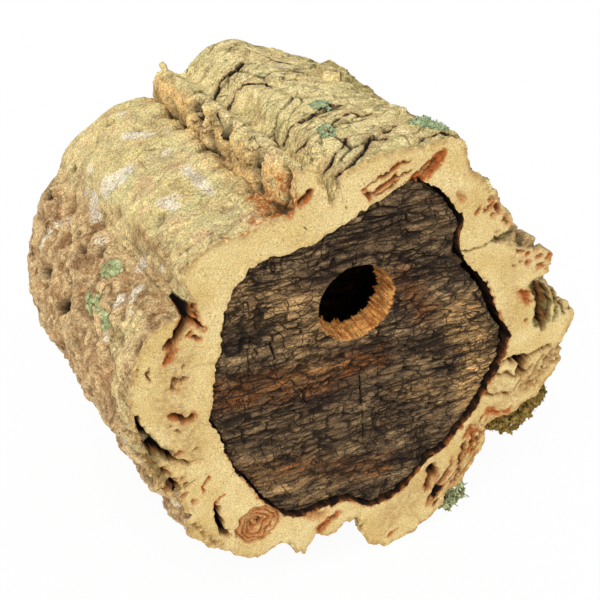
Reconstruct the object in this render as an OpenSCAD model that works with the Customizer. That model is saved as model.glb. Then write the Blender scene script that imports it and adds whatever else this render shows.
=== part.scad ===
// Cork birdhouse: a tube of cork bark closed by two bark panels, sizes in millimetres
// +Z is up, the entrance faces -Y, the ground is Z = 0 and the tube axis runs along Y over X = 0

/* [Bark tube] */
// Length of the tube from sawn face to sawn face
tube_length = 130; // [100:1:180]
// Width of the tube over its widest bark points
tube_width = 210; // [180:1:250]
// Height of the tube over its highest and lowest bark points
tube_height = 196; // [170:1:235]
// Height of the bark plates along the outside
bark_relief = 2; // [0:0.25:3]
// Width of the stripping seam that runs through the right wall
seam_width = 0.8; // [0.5:0.1:2]
// Depth of the open cork cavities in the front face
cavity_depth = 14; // [4:1:25]
// Depth of the sunken knot at the lower left of the front face
knot_depth = 2; // [0.5:0.5:6]
// Depth to which the loose bark strip at the lower left has split off
strip_split_depth = 30; // [10:1:50]

/* [Front panel] */
// Thickness of the removable front panel
panel_thickness = 12; // [9:0.5:18]
// Depth of the panel face behind the sawn face of the tube
panel_recess = 2; // [1:0.5:12]
// Gap between panel and tube where the panel fits closely
panel_fit = 0.4; // [0.3:0.1:1]
// Extra gap along the right edge of the panel
panel_side_gap = 2; // [0:0.25:6]
// Diameter of the entrance hole
entrance_d = 32; // [26:1:45]
// Sideways place of the entrance hole from the tube axis
entrance_x = -6; // [-10:1:10]
// Height of the entrance hole over the tube axis
entrance_rise = 33; // [15:1:36]

/* [Front panel stop pegs] */
// Diameter of the wooden pegs behind the front panel
peg_d = 6; // [4:0.5:8]
// Length of each peg
peg_length = 20; // [16:1:24]
// Part of each peg that stands out of the wall
peg_stand = 9; // [6:1:12]
// Radial fit of the pegs in their bores
peg_fit = 0.05; // [0.02:0.01:0.2]

/* [Rear panel] */
// Thickness of the fixed rear panel
rear_thickness = 14; // [11:0.5:20]
// Depth of the rear panel behind the rear sawn face
rear_recess = 6; // [4:0.5:12]
// Gap between rear panel and tube
rear_fit = 0.3; // [0.2:0.1:0.8]

/* [Rear panel pins] */
// Shank diameter of the steel pins
pin_d = 2; // [1.4:0.1:3]
// Length of each pin
pin_length = 45; // [40:1:52]
// Diameter of the pin head
pin_head_d = 4; // [3.4:0.1:5]
// Thickness of the pin head
pin_head_h = 1; // [0.8:0.1:1.6]
// Depth of the pin head below the bark surface
pin_sink = 4; // [3:0.5:6]
// Radial fit of the pins
pin_fit = 0.05; // [0.02:0.01:0.2]

/* [Hanger] */
// Length of the keyhole plate
hanger_length = 46; // [42:1:60]
// Width of the keyhole plate
hanger_width = 18; // [16:1:24]
// Thickness of the keyhole plate
hanger_thickness = 1.5; // [1:0.25:2.5]
// Height of the keyhole over the tube axis
hanger_rise = 38; // [20:1:40]
// Diameter of the round part of the keyhole
keyhole_d = 9; // [7:0.5:11]
// Width of the keyhole slot
keyhole_slot = 4.5; // [3.5:0.5:6]
// Length of the slot above the round part, centre to centre
keyhole_travel = 9; // [7:0.5:10]
// Depth of the recess in the panel behind the keyhole
hanger_recess = 7; // [5:0.5:9]
// Distance of each screw from the end of the plate
screw_inset = 5; // [4.5:0.5:6]
// Shank diameter of the hanger screws
screw_d = 3; // [2.5:0.25:3.5]
// Head diameter of the hanger screws
screw_head_d = 6; // [5:0.25:7]
// Head height of the hanger screws
screw_head_h = 2; // [1.5:0.25:2.5]
// Length of the screw shank below the head
screw_length = 10; // [8:0.5:12]
// Radial fit of the screws in plate and panel
screw_fit = 0.05; // [0.02:0.01:0.2]

/* [Lichen and moss] */
// Height of the lichen pads over the bark
lichen_height = 2.5; // [2:0.5:5]
// Height of the lichen tuft behind the lower edge of the front face
tuft_height = 11; // [4:0.5:14]
// Height of the moss cushion over the bark
moss_height = 15; // [6:0.5:18]

/* [Hidden] */
$fn = 48;
over = 1;
span_steps = 2;
stations = 12;
hollow_steps = 3;

// Outer outline about the tube axis: front X, front Z, rear X, rear Z
bark_outline = [
    [99, 0, 105, -3], [93, 7, 101, 8], [88, 13, 94, 17], [75, 20, 84, 24], [82, 25, 88, 31],
    [83, 31, 86, 38], [79, 36, 80, 45], [70, 39, 73, 49], [58, 45, 64, 52], [60, 54, 63, 60],
    [54, 62, 58, 65], [53, 67, 53, 70], [46, 73, 47, 76], [41, 78, 41, 76], [37, 87, 33, 80],
    [34, 93, 28, 82], [27, 95, 20, 86], [12, 94, 8, 90], [-2, 93, -2, 94], [-13, 90, -13, 92],
    [-18, 78, -20, 87], [-23, 89, -26, 82], [-29, 95, -33, 86], [-32, 89, -38, 79],
    [-34, 79, -38, 70], [-43, 76, -46, 73], [-53, 74, -55, 73], [-62, 73, -63, 70],
    [-70, 69, -70, 65], [-75, 63, -77, 60], [-72, 54, -82, 53], [-75, 48, -85, 47],
    [-82, 47, -88, 43], [-88, 42, -92, 38], [-95, 31, -97, 30], [-97, 20, -100, 20],
    [-98, 8, -104, 8], [-96, -8, -105, -5], [-91, -24, -102, -20], [-87, -30, -97, -35],
    [-82, -37, -92, -50], [-81, -48, -87, -64], [-77, -58, -81, -77], [-66, -68, -73, -90],
    [-57, -77, -63, -99], [-48, -82, -52, -101], [-38, -79, -42, -96], [-31, -87, -34, -92],
    [-27, -88, -27, -91], [-23, -79, -20, -86], [-17, -83, -9, -86], [-8, -78, 3, -83],
    [1, -92, 18, -91], [8, -99, 28, -98], [16, -101, 38, -101], [26, -99, 48, -99],
    [37, -90, 57, -92], [41, -83, 62, -84], [51, -78, 68, -78], [56, -67, 74, -69],
    [60, -57, 77, -60], [62, -47, 78, -52], [72, -46, 84, -49], [80, -40, 89, -44],
    [87, -38, 94, -38], [96, -25, 99, -27], [95, -16, 102, -18], [99, -7, 105, -10]
];

// Outline of the hollow about the tube axis, the same from end to end
hollow_outline = [
    [65, 1], [60, 8], [57, 15], [53, 24], [48, 31], [42, 38], [38, 45], [37, 53], [38, 58],
    [35, 63], [31, 69], [26, 74], [20, 78], [13, 80], [3, 76], [-6, 72], [-15, 68], [-25, 64],
    [-34, 62], [-45, 62], [-54, 55], [-58, 48], [-61, 39], [-61, 32], [-63, 25], [-65, 15],
    [-66, 5], [-67, -3], [-64, -9], [-62, -16], [-59, -28], [-53, -38], [-46, -51], [-40, -59],
    [-33, -65], [-26, -66], [-17, -65], [-7, -66], [3, -73], [10, -73], [18, -70], [27, -62],
    [31, -57], [39, -53], [45, -46], [51, -40], [57, -28], [62, -19], [66, -8]
];

// Open cavities and the sunken knot of the front face about the tube axis: X, Z, radius
cavities = [[-76, 47, 4], [-78, 38, 3], [74, -22, 3.5], [81, -16, 2], [34, -66, 2.5], [32, -72, 1.5]];
knot = [-49.6, -62.6, 9];

// Split behind the loose bark strip at the lower left of the front face
strip_split = [[-94, 8], [-89, 2], [-84, -9], [-79, -20], [-77, -34], [-90, -34], [-86, -20], [-89, -9]];

// Growth on the bark: place along the outline in points, distance behind the front face, radius
lichen_top_pads = [[17.8, 48, 5], [18.4, 28, 5]];
lichen_crest_pads = [[16.2, 17, 4], [15.8, 12, 4]];
lichen_left_pads = [[32.4, 48, 4], [34, 47, 5], [34, 35, 4]];
lichen_low_pads = [[57, 7, 4], [57.6, 8, 4]];
moss_right_pads = [[60.9, 7, 6], [61.6, 8, 8], [62.5, 8, 7]];

// Depth to which a pad is drawn before the bark is taken away from it, and share of its radius at the top
pad_root = 6;
pad_crown = 0.6;

// Numbers of the outline points at which pins and pegs stand
pin_places = [11, 27, 37, 48, 63];
peg_places = [4, 21, 40];

// Angle that faces the wide gap at the right edge of the front panel
side_gap_angle = 15;

// Number of the hollow outline point at which the seam leaves, and how far out the seam runs
seam_place = 6;
seam_reach = tube_width / 2 + over;

function mix(a, b, t) = a + (b - a) * t;
function wrap(points, i) = points[(i + len(points)) % len(points)];
function spline(a, b, c, d, t) =
    0.5 * (2 * b + (c - a) * t + (2 * a - 5 * b + 4 * c - d) * t * t + (3 * b - a - 3 * c + d) * t * t * t);
function closed_curve(points, steps) = [
    for (i = [0 : len(points) - 1], s = [0 : steps - 1])
        spline(wrap(points, i - 1), points[i], wrap(points, i + 1), wrap(points, i + 2), s / steps)
];

// Outward direction of a counter-clockwise curve at one of its points
function outward(points, i) =
    let (run = wrap(points, i + 1) - wrap(points, i - 1)) [run[1], -run[0]] / norm(run);
function inset(points, gaps) = [for (i = [0 : len(points) - 1]) points[i] - gaps[i] * outward(points, i)];

// The two walls of the seam, from the hollow at p to outside of the bark and back
function seam_walls(p) = [
    p - [0, seam_width / 2], [seam_reach, p[1] - seam_width / 2],
    [seam_reach, p[1] + seam_width / 2], p + [0, seam_width / 2]
];

// Outlines are drawn at one size and stretched to the stated width and height
drawn_x = [for (row = bark_outline) each [row[0], row[2]]];
drawn_z = [for (row = bark_outline) each [row[1], row[3]]];
width_scale = tube_width / (max(drawn_x) - min(drawn_x));
height_scale = tube_height / (max(drawn_z) - min(drawn_z));
function sized(p) = [p[0] * width_scale, p[1] * height_scale];

function bark_point(i, t) = sized([
    mix(bark_outline[i][0], bark_outline[i][2], t),
    mix(bark_outline[i][1], bark_outline[i][3], t)
]);
function plate_height(i, t) =
    bark_relief * sin(180 * t) * (sin(i * 97 + t * 610) + sin(i * 41 - t * 430)) / 2;
function raised(p, height) = p * (1 + height / norm(p));
function bark_section(t) =
    let (base = closed_curve([for (i = [0 : len(bark_outline) - 1]) bark_point(i, t)], span_steps))
    [for (i = [0 : len(base) - 1]) raised(base[i], plate_height(i, t))];

sections = [for (s = [0 : stations]) bark_section(s / stations)];
hollow = closed_curve([for (p = hollow_outline) sized(p)], hollow_steps);
hollow_and_seam = [
    for (i = [0 : len(hollow) - 1])
        each i == seam_place * hollow_steps ? seam_walls(hollow[i]) : [hollow[i]]
];

// The tube stands on its lowest bark points
axis_height = -min([for (section = sections, p = section) p[1]]);
front_y = -tube_length / 2;
rear_y = tube_length / 2;

// The front panel lies between its recess and the stop pegs
panel_face_y = front_y + panel_recess;
panel_back_y = panel_face_y + panel_thickness;
peg_y = panel_back_y + peg_d / 2;
side_share = [for (p = hollow) pow(max(0, cos(atan2(p[1], p[0]) - side_gap_angle)), 2)];
panel_outline = inset(hollow, [for (share = side_share) panel_fit + panel_side_gap * share]);

// The rear panel is set in from the rear sawn face
rear_face_y = rear_y - rear_recess;
rear_front_y = rear_face_y - rear_thickness;
rear_outline = inset(hollow, [for (p = hollow) rear_fit]);
pin_y = rear_face_y - rear_thickness / 2;
pin_share = (pin_y - front_y) / tube_length;

// The hanger plate lies on the rear panel, its screws head down on the plate
screw_rise = hanger_length / 2 - screw_inset;
screw_head_y = rear_face_y + hanger_thickness;
recess_margin = 1.5;
hanger_recess_d = keyhole_d + 2 * recess_margin;

// Draw a flat outline in the X-Z plane and give it a depth along +Y from y
module upright(points, y, depth) {
    translate([0, y + depth, axis_height])
        rotate([90, 0, 0])
            linear_extrude(height = depth)
                polygon(points);
}

// Round bar along +Y from y
module bar_y(x, rise, y, r, depth) {
    translate([x, y, axis_height + rise])
        rotate([-90, 0, 0])
            cylinder(r = r, h = depth);
}

// Round bar at depth y that points from the section point p towards the tube axis, from outer_r to r
module bar_inward(p, y, from, depth, r, outer_r = 0) {
    translate([0, y, axis_height])
        rotate([0, -atan2(p[1], p[0]), 0])
            translate([norm(p) - from, 0, 0])
                rotate([0, -90, 0])
                    cylinder(r1 = outer_r > 0 ? outer_r : r, r2 = r, h = depth);
}

// Whole bark log before it is hollowed
module bark_log() {
    count = len(sections[0]);
    skin = [
        for (s = [0 : stations], p = sections[s])
            [p[0], front_y + tube_length * s / stations, axis_height + p[1]]
    ];
    front_middle = len(skin);
    rear_middle = front_middle + 1;
    last = stations * count;
    front_cap = [for (i = [0 : count - 1]) [front_middle, (i + 1) % count, i]];
    rear_cap = [for (i = [0 : count - 1]) [rear_middle, last + i, last + (i + 1) % count]];
    sides = [
        for (s = [0 : stations - 1], i = [0 : count - 1], half = [0, 1])
            let (a = s * count + i, b = s * count + (i + 1) % count)
            half == 0 ? [a, b, a + count] : [b, b + count, a + count]
    ];
    middles = [[0, front_y, axis_height], [0, rear_y, axis_height]];
    polyhedron(points = concat(skin, middles), faces = concat(front_cap, rear_cap, sides));
}

module bark_tube() {
    color("tan")
        difference() {
            bark_log();
            upright(hollow_and_seam, front_y - over, tube_length + 2 * over);
            upright([for (p = strip_split) sized(p)], front_y - over, strip_split_depth + over);
            for (c = cavities)
                bar_y(sized(c)[0], sized(c)[1], front_y - over, c[2], cavity_depth + over);
            bar_y(sized(knot)[0], sized(knot)[1], front_y - over, knot[2], knot_depth + over);
            for (i = peg_places)
                stop_peg(i, peg_d / 2 + peg_fit);
            for (i = pin_places)
                pin_bore(i);
        }
}

// Pads of growth that lie on the bark, follow it below and end flush with the front face
module growth(pads, height) {
    difference() {
        for (pad = pads) {
            share = pad[1] / tube_length;
            from = floor(pad[0]);
            p = mix(bark_point(from, share), bark_point(from + 1, share), pad[0] - from);
            bar_inward(p, front_y + pad[1], -height, height + pad_root, pad[2] + pad_root, pad[2] * pad_crown);
        }
        bark_log();
        translate([-tube_width, front_y - tube_length, 0])
            cube([2 * tube_width, tube_length, 2 * tube_height]);
    }
}

module lichen_top() {
    color("darkseagreen")
        growth(lichen_top_pads, lichen_height);
}

module lichen_crest() {
    color("darkseagreen")
        growth(lichen_crest_pads, lichen_height);
}

module lichen_left() {
    color("darkseagreen")
        growth(lichen_left_pads, lichen_height);
}

module lichen_low() {
    color("darkseagreen")
        growth(lichen_low_pads, tuft_height);
}

module moss_right() {
    color("olive")
        growth(moss_right_pads, moss_height);
}

module front_panel() {
    color("saddlebrown")
        difference() {
            upright(panel_outline, panel_face_y, panel_thickness);
            bar_y(entrance_x, entrance_rise, panel_face_y - over, entrance_d / 2, panel_thickness + 2 * over);
        }
}

// One wooden peg, driven into the wall behind the front panel
module stop_peg(place, r) {
    p = sized(hollow_outline[place]);
    bar_inward(p, peg_y, peg_stand - peg_length, peg_length, r);
}

module front_stop_pegs() {
    color("burlywood")
        for (i = peg_places)
            stop_peg(i, peg_d / 2);
}

// Bore for one steel pin, wider from its head to the outside
module pin_bore(place) {
    p = bark_point(place, pin_share);
    bar_inward(p, pin_y, pin_sink, pin_length, pin_d / 2 + pin_fit);
    bar_inward(p, pin_y, -pin_length, pin_length + pin_sink + pin_head_h, pin_head_d / 2 + pin_fit);
}

module rear_panel_pins() {
    color("silver")
        for (i = pin_places) {
            p = bark_point(i, pin_share);
            bar_inward(p, pin_y, pin_sink, pin_length, pin_d / 2);
            bar_inward(p, pin_y, pin_sink, pin_head_h, pin_head_d / 2);
        }
}

module rear_panel() {
    color("saddlebrown")
        difference() {
            upright(rear_outline, rear_front_y, rear_thickness);
            for (i = pin_places)
                bar_inward(bark_point(i, pin_share), pin_y, pin_sink, pin_length, pin_d / 2 + pin_fit);
            bar_y(0, hanger_rise, rear_face_y - hanger_recess, hanger_recess_d / 2, hanger_recess + over);
            bar_y(0, hanger_rise + keyhole_travel, rear_face_y - hanger_recess, hanger_recess_d / 2,
                hanger_recess + over);
            hanger_screw_bars(screw_d / 2 + screw_fit);
        }
}

// Both screw shanks of the hanger, from under the heads into the rear panel
module hanger_screw_bars(r) {
    for (side = [-1, 1])
        bar_y(0, hanger_rise + side * screw_rise, screw_head_y - screw_length, r, screw_length);
}

module hanger_plate() {
    color("gray")
        difference() {
            translate([-hanger_width / 2, rear_face_y, axis_height + hanger_rise - hanger_length / 2])
                cube([hanger_width, hanger_thickness, hanger_length]);
            bar_y(0, hanger_rise, rear_face_y - over, keyhole_d / 2, hanger_thickness + 2 * over);
            bar_y(0, hanger_rise + keyhole_travel, rear_face_y - over, keyhole_slot / 2,
                hanger_thickness + 2 * over);
            translate([-keyhole_slot / 2, rear_face_y - over, axis_height + hanger_rise])
                cube([keyhole_slot, hanger_thickness + 2 * over, keyhole_travel]);
            hanger_screw_bars(screw_d / 2 + screw_fit);
        }
}

module hanger_screws() {
    color("silver") {
        hanger_screw_bars(screw_d / 2);
        for (side = [-1, 1])
            bar_y(0, hanger_rise + side * screw_rise, screw_head_y, screw_head_d / 2, screw_head_h);
    }
}

bark_tube();
lichen_top();
lichen_crest();
lichen_left();
lichen_low();
moss_right();
front_panel();
front_stop_pegs();
rear_panel();
rear_panel_pins();
hanger_plate();
hanger_screws();
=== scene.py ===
"""Looks of a cork birdhouse: a tube of cork bark, two dark bark panels, lichen, moss and a hanger.

Sizes are in millimetres about the tube axis. Meshes are written in metres, in the frame of the solids.
"""

import logging
import math
import random
from dataclasses import dataclass, field
from enum import Enum

import bpy
import numpy as np
from mathutils import Matrix, Vector, noise
from mathutils.bvhtree import BVHTree


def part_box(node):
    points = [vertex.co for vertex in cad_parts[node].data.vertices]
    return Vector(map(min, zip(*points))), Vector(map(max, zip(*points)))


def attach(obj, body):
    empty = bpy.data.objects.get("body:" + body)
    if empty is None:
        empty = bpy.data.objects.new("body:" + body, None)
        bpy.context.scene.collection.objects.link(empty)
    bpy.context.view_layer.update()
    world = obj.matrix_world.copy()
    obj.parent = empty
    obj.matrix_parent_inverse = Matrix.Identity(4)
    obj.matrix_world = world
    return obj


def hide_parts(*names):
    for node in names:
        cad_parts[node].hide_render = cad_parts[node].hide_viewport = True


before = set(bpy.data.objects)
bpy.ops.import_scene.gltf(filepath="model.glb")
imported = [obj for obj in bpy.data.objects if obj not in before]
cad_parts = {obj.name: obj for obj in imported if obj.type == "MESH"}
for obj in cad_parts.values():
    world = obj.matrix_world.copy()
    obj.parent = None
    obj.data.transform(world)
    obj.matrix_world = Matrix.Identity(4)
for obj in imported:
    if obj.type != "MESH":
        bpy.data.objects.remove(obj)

LOG = logging.getLogger("birdhouse")
MM = 0.001
AXIS_HEIGHT = 101.87
FRONT_Y = -65.0
REAR_Y = 65.0
OUTLINE_POINTS = 68

Array = np.ndarray
Piece = bpy.types.Object
Material = bpy.types.Material
Socket = bpy.types.NodeSocket
Colour = tuple[int, int, int]
Triple = tuple[float, float, float]
Number = Socket | float
Paint = Socket | Colour
Path2 = tuple[tuple[float, float], ...]
Path3 = tuple[Triple, ...]


class Body(Enum):
    """Bodies of the part that pieces ride on."""

    HOUSE = "house"
    FRONT = "front"


class Slot(Enum):
    """Material slots of the part's record."""

    CORK = "cork_bark"
    DARK = "dark_bark"
    PEG = "peg_wood"
    STEEL = "steel"
    LICHEN = "lichen"
    MOSS = "moss"


class Facing(Enum):
    """Side to which a panel shows its bark."""

    FRONT = -1
    REAR = 1


def fade(low: float, high: float, value: Array) -> Array:
    """Ease from 0 at low to 1 at high.

    Args:
        low: Value that gives 0, which may be above high.
        high: Value that gives 1.
        value: Values to ease.

    Returns:
        Numbers from 0 to 1.
    """
    share = np.clip((value - low) / (high - low), 0.0, 1.0)
    return share * share * (3.0 - 2.0 * share)


def band(rise: float, full: float, fall: float, end: float, value: Array) -> Array:
    """Ease from 0 at rise to 1 at full, and from 1 at fall back to 0 at end."""
    return fade(rise, full, value) * fade(end, fall, value)


def fractal(points: Array, size: float, octaves: int = 3, seed: float = 0.0) -> Array:
    """Layered smooth noise at points.

    Args:
        points: Places in mm, one per row.
        size: Length of the broadest waves in mm.
        octaves: Number of layers, each half as long as the last.
        seed: Shift that gives another pattern.

    Returns:
        Numbers of about -1 to 1.
    """
    places = points / size + (seed * 13.7, seed * 7.9, seed * 5.3)
    return np.array([noise.fractal(Vector(p), 1.0, 2.0, octaves) for p in places.tolist()])


def space(x: Array | float, y: Array | float, z: Array | float) -> Array:
    """Points from three columns, of which some may be one number."""
    return np.stack(np.broadcast_arrays(x, y, z), axis=1)


def plates(points: Array) -> tuple[Array, Array, Array, Array]:
    """Irregular plates, one around each scattered middle.

    Args:
        points: Places in plate sizes, one per row.

    Returns:
        Gap to the nearest border, distance to the middle, a tone of 0 to 1 for each plate, and
        the offset from the middle.
    """
    gaps, nears, tones, offsets = [], [], [], []
    for p in points.tolist():
        distance, middle = noise.voronoi(Vector(p))
        gaps.append(distance[1] - distance[0])
        nears.append(distance[0])
        tones.append(noise.cell(middle[0] * 9.7))
        offsets.append((p[0] - middle[0][0], p[1] - middle[0][1]))
    return np.array(gaps), np.array(nears), np.array(tones) % 1.0, np.array(offsets)


def path_distance(points: Array, path: tuple) -> Array:
    """Distance of points from a path of straight pieces.

    Args:
        points: Places in mm, one per row.
        path: One or more places of the same dimension.

    Returns:
        Distances in mm.
    """
    corners = np.array(path, dtype=float)
    if len(corners) == 1:
        return np.linalg.norm(points - corners[0], axis=1)
    nearest = np.full(len(points), np.inf)
    for start, end in zip(corners[:-1], corners[1:]):
        run = end - start
        share = np.clip(((points - start) @ run) / (run @ run), 0.0, 1.0)
        nearest = np.minimum(nearest, np.linalg.norm(points - start - share[:, None] * run, axis=1))
    return nearest


def spline(points: Array, place: Array) -> Array:
    """Closed smooth curve through points.

    Args:
        points: Corner points, one per row.
        place: Places along the curve, counted in corner points.

    Returns:
        One point of the curve per place.
    """
    count = len(points)
    index = np.floor(place).astype(int)
    t = (place - index)[:, None]
    a, b, c, d = (points[(index + step) % count] for step in (-1, 0, 1, 2))
    return 0.5 * (2 * b + (c - a) * t + (2 * a - 5 * b + 4 * c - d) * t**2 + (3 * b - a - 3 * c + d) * t**3)


def lay_grid(name: str, points: Array, masks: dict[str, Array], flip: bool) -> Piece:
    """Lay a primitive grid over rows of points and weld what closes on itself.

    Args:
        name: Name of the piece.
        points: Rows by columns of places in mm, with Z above the ground.
        masks: Numbers per point that the finish reads, by name.
        flip: Whether the faces are turned round.

    Returns:
        The new piece.
    """
    rows, columns = points.shape[:2]
    bpy.ops.object.select_all(action="DESELECT")
    bpy.ops.mesh.primitive_grid_add(x_subdivisions=columns - 1, y_subdivisions=rows - 1, size=1.0)
    piece = bpy.context.active_object
    piece.name = piece.data.name = name
    mesh = piece.data
    flat = np.empty(len(mesh.vertices) * 3)
    mesh.vertices.foreach_get("co", flat)
    flat = flat.reshape(-1, 3)
    column = np.rint((flat[:, 0] + 0.5) * (columns - 1)).astype(int)
    row = np.rint((flat[:, 1] + 0.5) * (rows - 1)).astype(int)
    mesh.vertices.foreach_set("co", (points[row, column] * MM).ravel())
    for label, values in masks.items():
        layer = mesh.attributes.new(label, "FLOAT", "POINT")
        layer.data.foreach_set("value", values[row, column].astype(np.float32))
    bpy.ops.object.mode_set(mode="EDIT")
    bpy.ops.mesh.select_all(action="SELECT")
    bpy.ops.mesh.remove_doubles(threshold=1e-6)
    if flip:
        bpy.ops.mesh.flip_normals()
    bpy.ops.object.mode_set(mode="OBJECT")
    bpy.ops.object.shade_smooth()
    return piece


def settle(piece: Piece, finish: Material, body: Body, slot: Slot, *nodes: str) -> None:
    """Give a piece its finish and body, and hide the solids that it stands for.

    Args:
        piece: The finished piece.
        finish: Its material.
        body: Body that it rides on.
        slot: Material slot of the record; not used.
        *nodes: Names of the solids that it replaces.
    """
    piece.data.materials.clear()
    piece.data.materials.append(finish)
    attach(piece, body.value)
    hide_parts(*nodes)
    LOG.info("%s: %d faces on %s", piece.name, len(piece.data.polygons), body.value)


def linear(colour: Colour) -> tuple[float, float, float, float]:
    """Colour of 0 to 255 per channel as the linear values of a socket."""
    parts = [c / 255.0 for c in colour]
    return (*(p / 12.92 if p <= 0.04045 else ((p + 0.055) / 1.055) ** 2.4 for p in parts), 1.0)


class NodeSheet:
    """A node tree that is filled from left to right."""

    def __init__(self, tree: bpy.types.NodeTree) -> None:
        """Start on a tree, which may hold nodes already."""
        self.tree = tree
        self.count = 0

    def add(self, kind: str, values: dict | None = None, **settings: object) -> bpy.types.Node:
        """Add a node.

        Args:
            kind: Type name of the node.
            values: Input names or numbers, with a value or the socket to link.
            **settings: Properties of the node.

        Returns:
            The new node.
        """
        node = self.tree.nodes.new(kind)
        node.location = (190 * (self.count // 4), -240 * (self.count % 4))
        self.count += 1
        for key, value in settings.items():
            setattr(node, key, value)
        for key, value in (values or {}).items():
            if isinstance(value, Socket):
                self.tree.links.new(value, node.inputs[key])
            else:
                node.inputs[key].default_value = value
        return node

    def mask(self, name: str) -> Socket:
        """Numbers that the piece carries under a name."""
        return self.add("ShaderNodeAttribute", attribute_name=name).outputs["Fac"]

    def place(self, stretch: Triple = (1, 1, 1)) -> Socket:
        """Object coordinates, stretched per axis."""
        spot = self.add("ShaderNodeTexCoord").outputs["Object"]
        return self.add("ShaderNodeMapping", {"Vector": spot, "Scale": stretch}).outputs["Vector"]

    def clouds(
        self, scale: float, detail: float = 3.0, stretch: Triple = (1, 1, 1), warp: float = 0.0
    ) -> Socket:
        """Noise of a scale per metre.

        Args:
            scale: Waves per metre.
            detail: Number of finer layers.
            stretch: Factors per axis.
            warp: How far the pattern is pulled about.

        Returns:
            The value socket.
        """
        values = {"Vector": self.place(stretch), "Scale": scale, "Detail": detail, "Distortion": warp}
        return self.add("ShaderNodeTexNoise", values).outputs[0]

    def spots(self, scale: float) -> Socket:
        """Distance from scattered dots, of a scale per metre."""
        values = {"Vector": self.place(), "Scale": scale}
        return self.add("ShaderNodeTexVoronoi", values).outputs["Distance"]

    def cells(
        self, scale: float, stretch: Triple = (1, 1, 1), pull: float = 0.0
    ) -> tuple[Socket, Socket]:
        """Irregular cells of a scale per metre.

        Args:
            scale: Cells per metre.
            stretch: Factors per axis.
            pull: How far the cells are pulled about, in metres.

        Returns:
            Distance from the cell borders and a tone per cell.
        """
        spot = self.place(stretch)
        values = {"Vector": spot, "Scale": 0.4 * scale, "Detail": 3.0}
        drift = self.add("ShaderNodeTexNoise", values).outputs["Color"]
        values = {0: drift, 1: (pull, pull, pull), 2: spot}
        spot = self.add("ShaderNodeVectorMath", values, operation="MULTIPLY_ADD").outputs[0]
        values = {"Vector": spot, "Scale": scale}
        edge = self.add("ShaderNodeTexVoronoi", values, feature="DISTANCE_TO_EDGE").outputs["Distance"]
        return edge, self.add("ShaderNodeTexVoronoi", values).outputs["Color"]

    def span(
        self, value: Socket, low: float, high: float, start: float = 0.0, end: float = 1.0
    ) -> Socket:
        """Map a value from low and high to start and end, clamped.

        Args:
            value: Socket to map.
            low: Value that gives start.
            high: Value that gives end.
            start: Result at low.
            end: Result at high.

        Returns:
            The mapped socket.
        """
        values = {"Value": value, "From Min": low, "From Max": high, "To Min": start, "To Max": end}
        return self.add("ShaderNodeMapRange", values, clamp=True).outputs[0]

    def calc(self, operation: str, a: Number, b: Number) -> Socket:
        """Reckon with two numbers.

        Args:
            operation: Name of the math operation.
            a: First number or socket.
            b: Second number or socket.

        Returns:
            The result socket.
        """
        return self.add("ShaderNodeMath", {0: a, 1: b}, operation=operation).outputs[0]

    def times(self, a: Number, b: Number) -> Socket:
        """Multiply two numbers."""
        return self.calc("MULTIPLY", a, b)

    def plus(self, a: Number, b: Number) -> Socket:
        """Add two numbers."""
        return self.calc("ADD", a, b)

    def mix(self, share: Number, a: Paint, b: Paint) -> Socket:
        """Mix two colours.

        Args:
            share: Share of the second colour.
            a: First colour or socket.
            b: Second colour or socket.

        Returns:
            The colour socket.
        """
        first, second = (c if isinstance(c, Socket) else linear(c) for c in (a, b))
        return self.add("ShaderNodeMix", {0: share, 6: first, 7: second}, data_type="RGBA").outputs[2]

    def veil(
        self,
        colour: Paint,
        pattern: Socket,
        levels: tuple[float, ...],
        tint: Paint,
        mask: str = "",
    ) -> Socket:
        """Lay a tint over a colour where a pattern and a named mask let it show.

        Args:
            colour: Colour below.
            pattern: Numbers that decide where the tint shows.
            levels: Low and high of the pattern, and the shares that they give if not 0 and 1.
            tint: Colour above.
            mask: Name of the mask, if there is one.

        Returns:
            The colour socket.
        """
        share = self.span(pattern, *levels)
        if mask:
            share = self.times(self.mask(mask), share)
        return self.mix(share, colour, tint)


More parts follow.
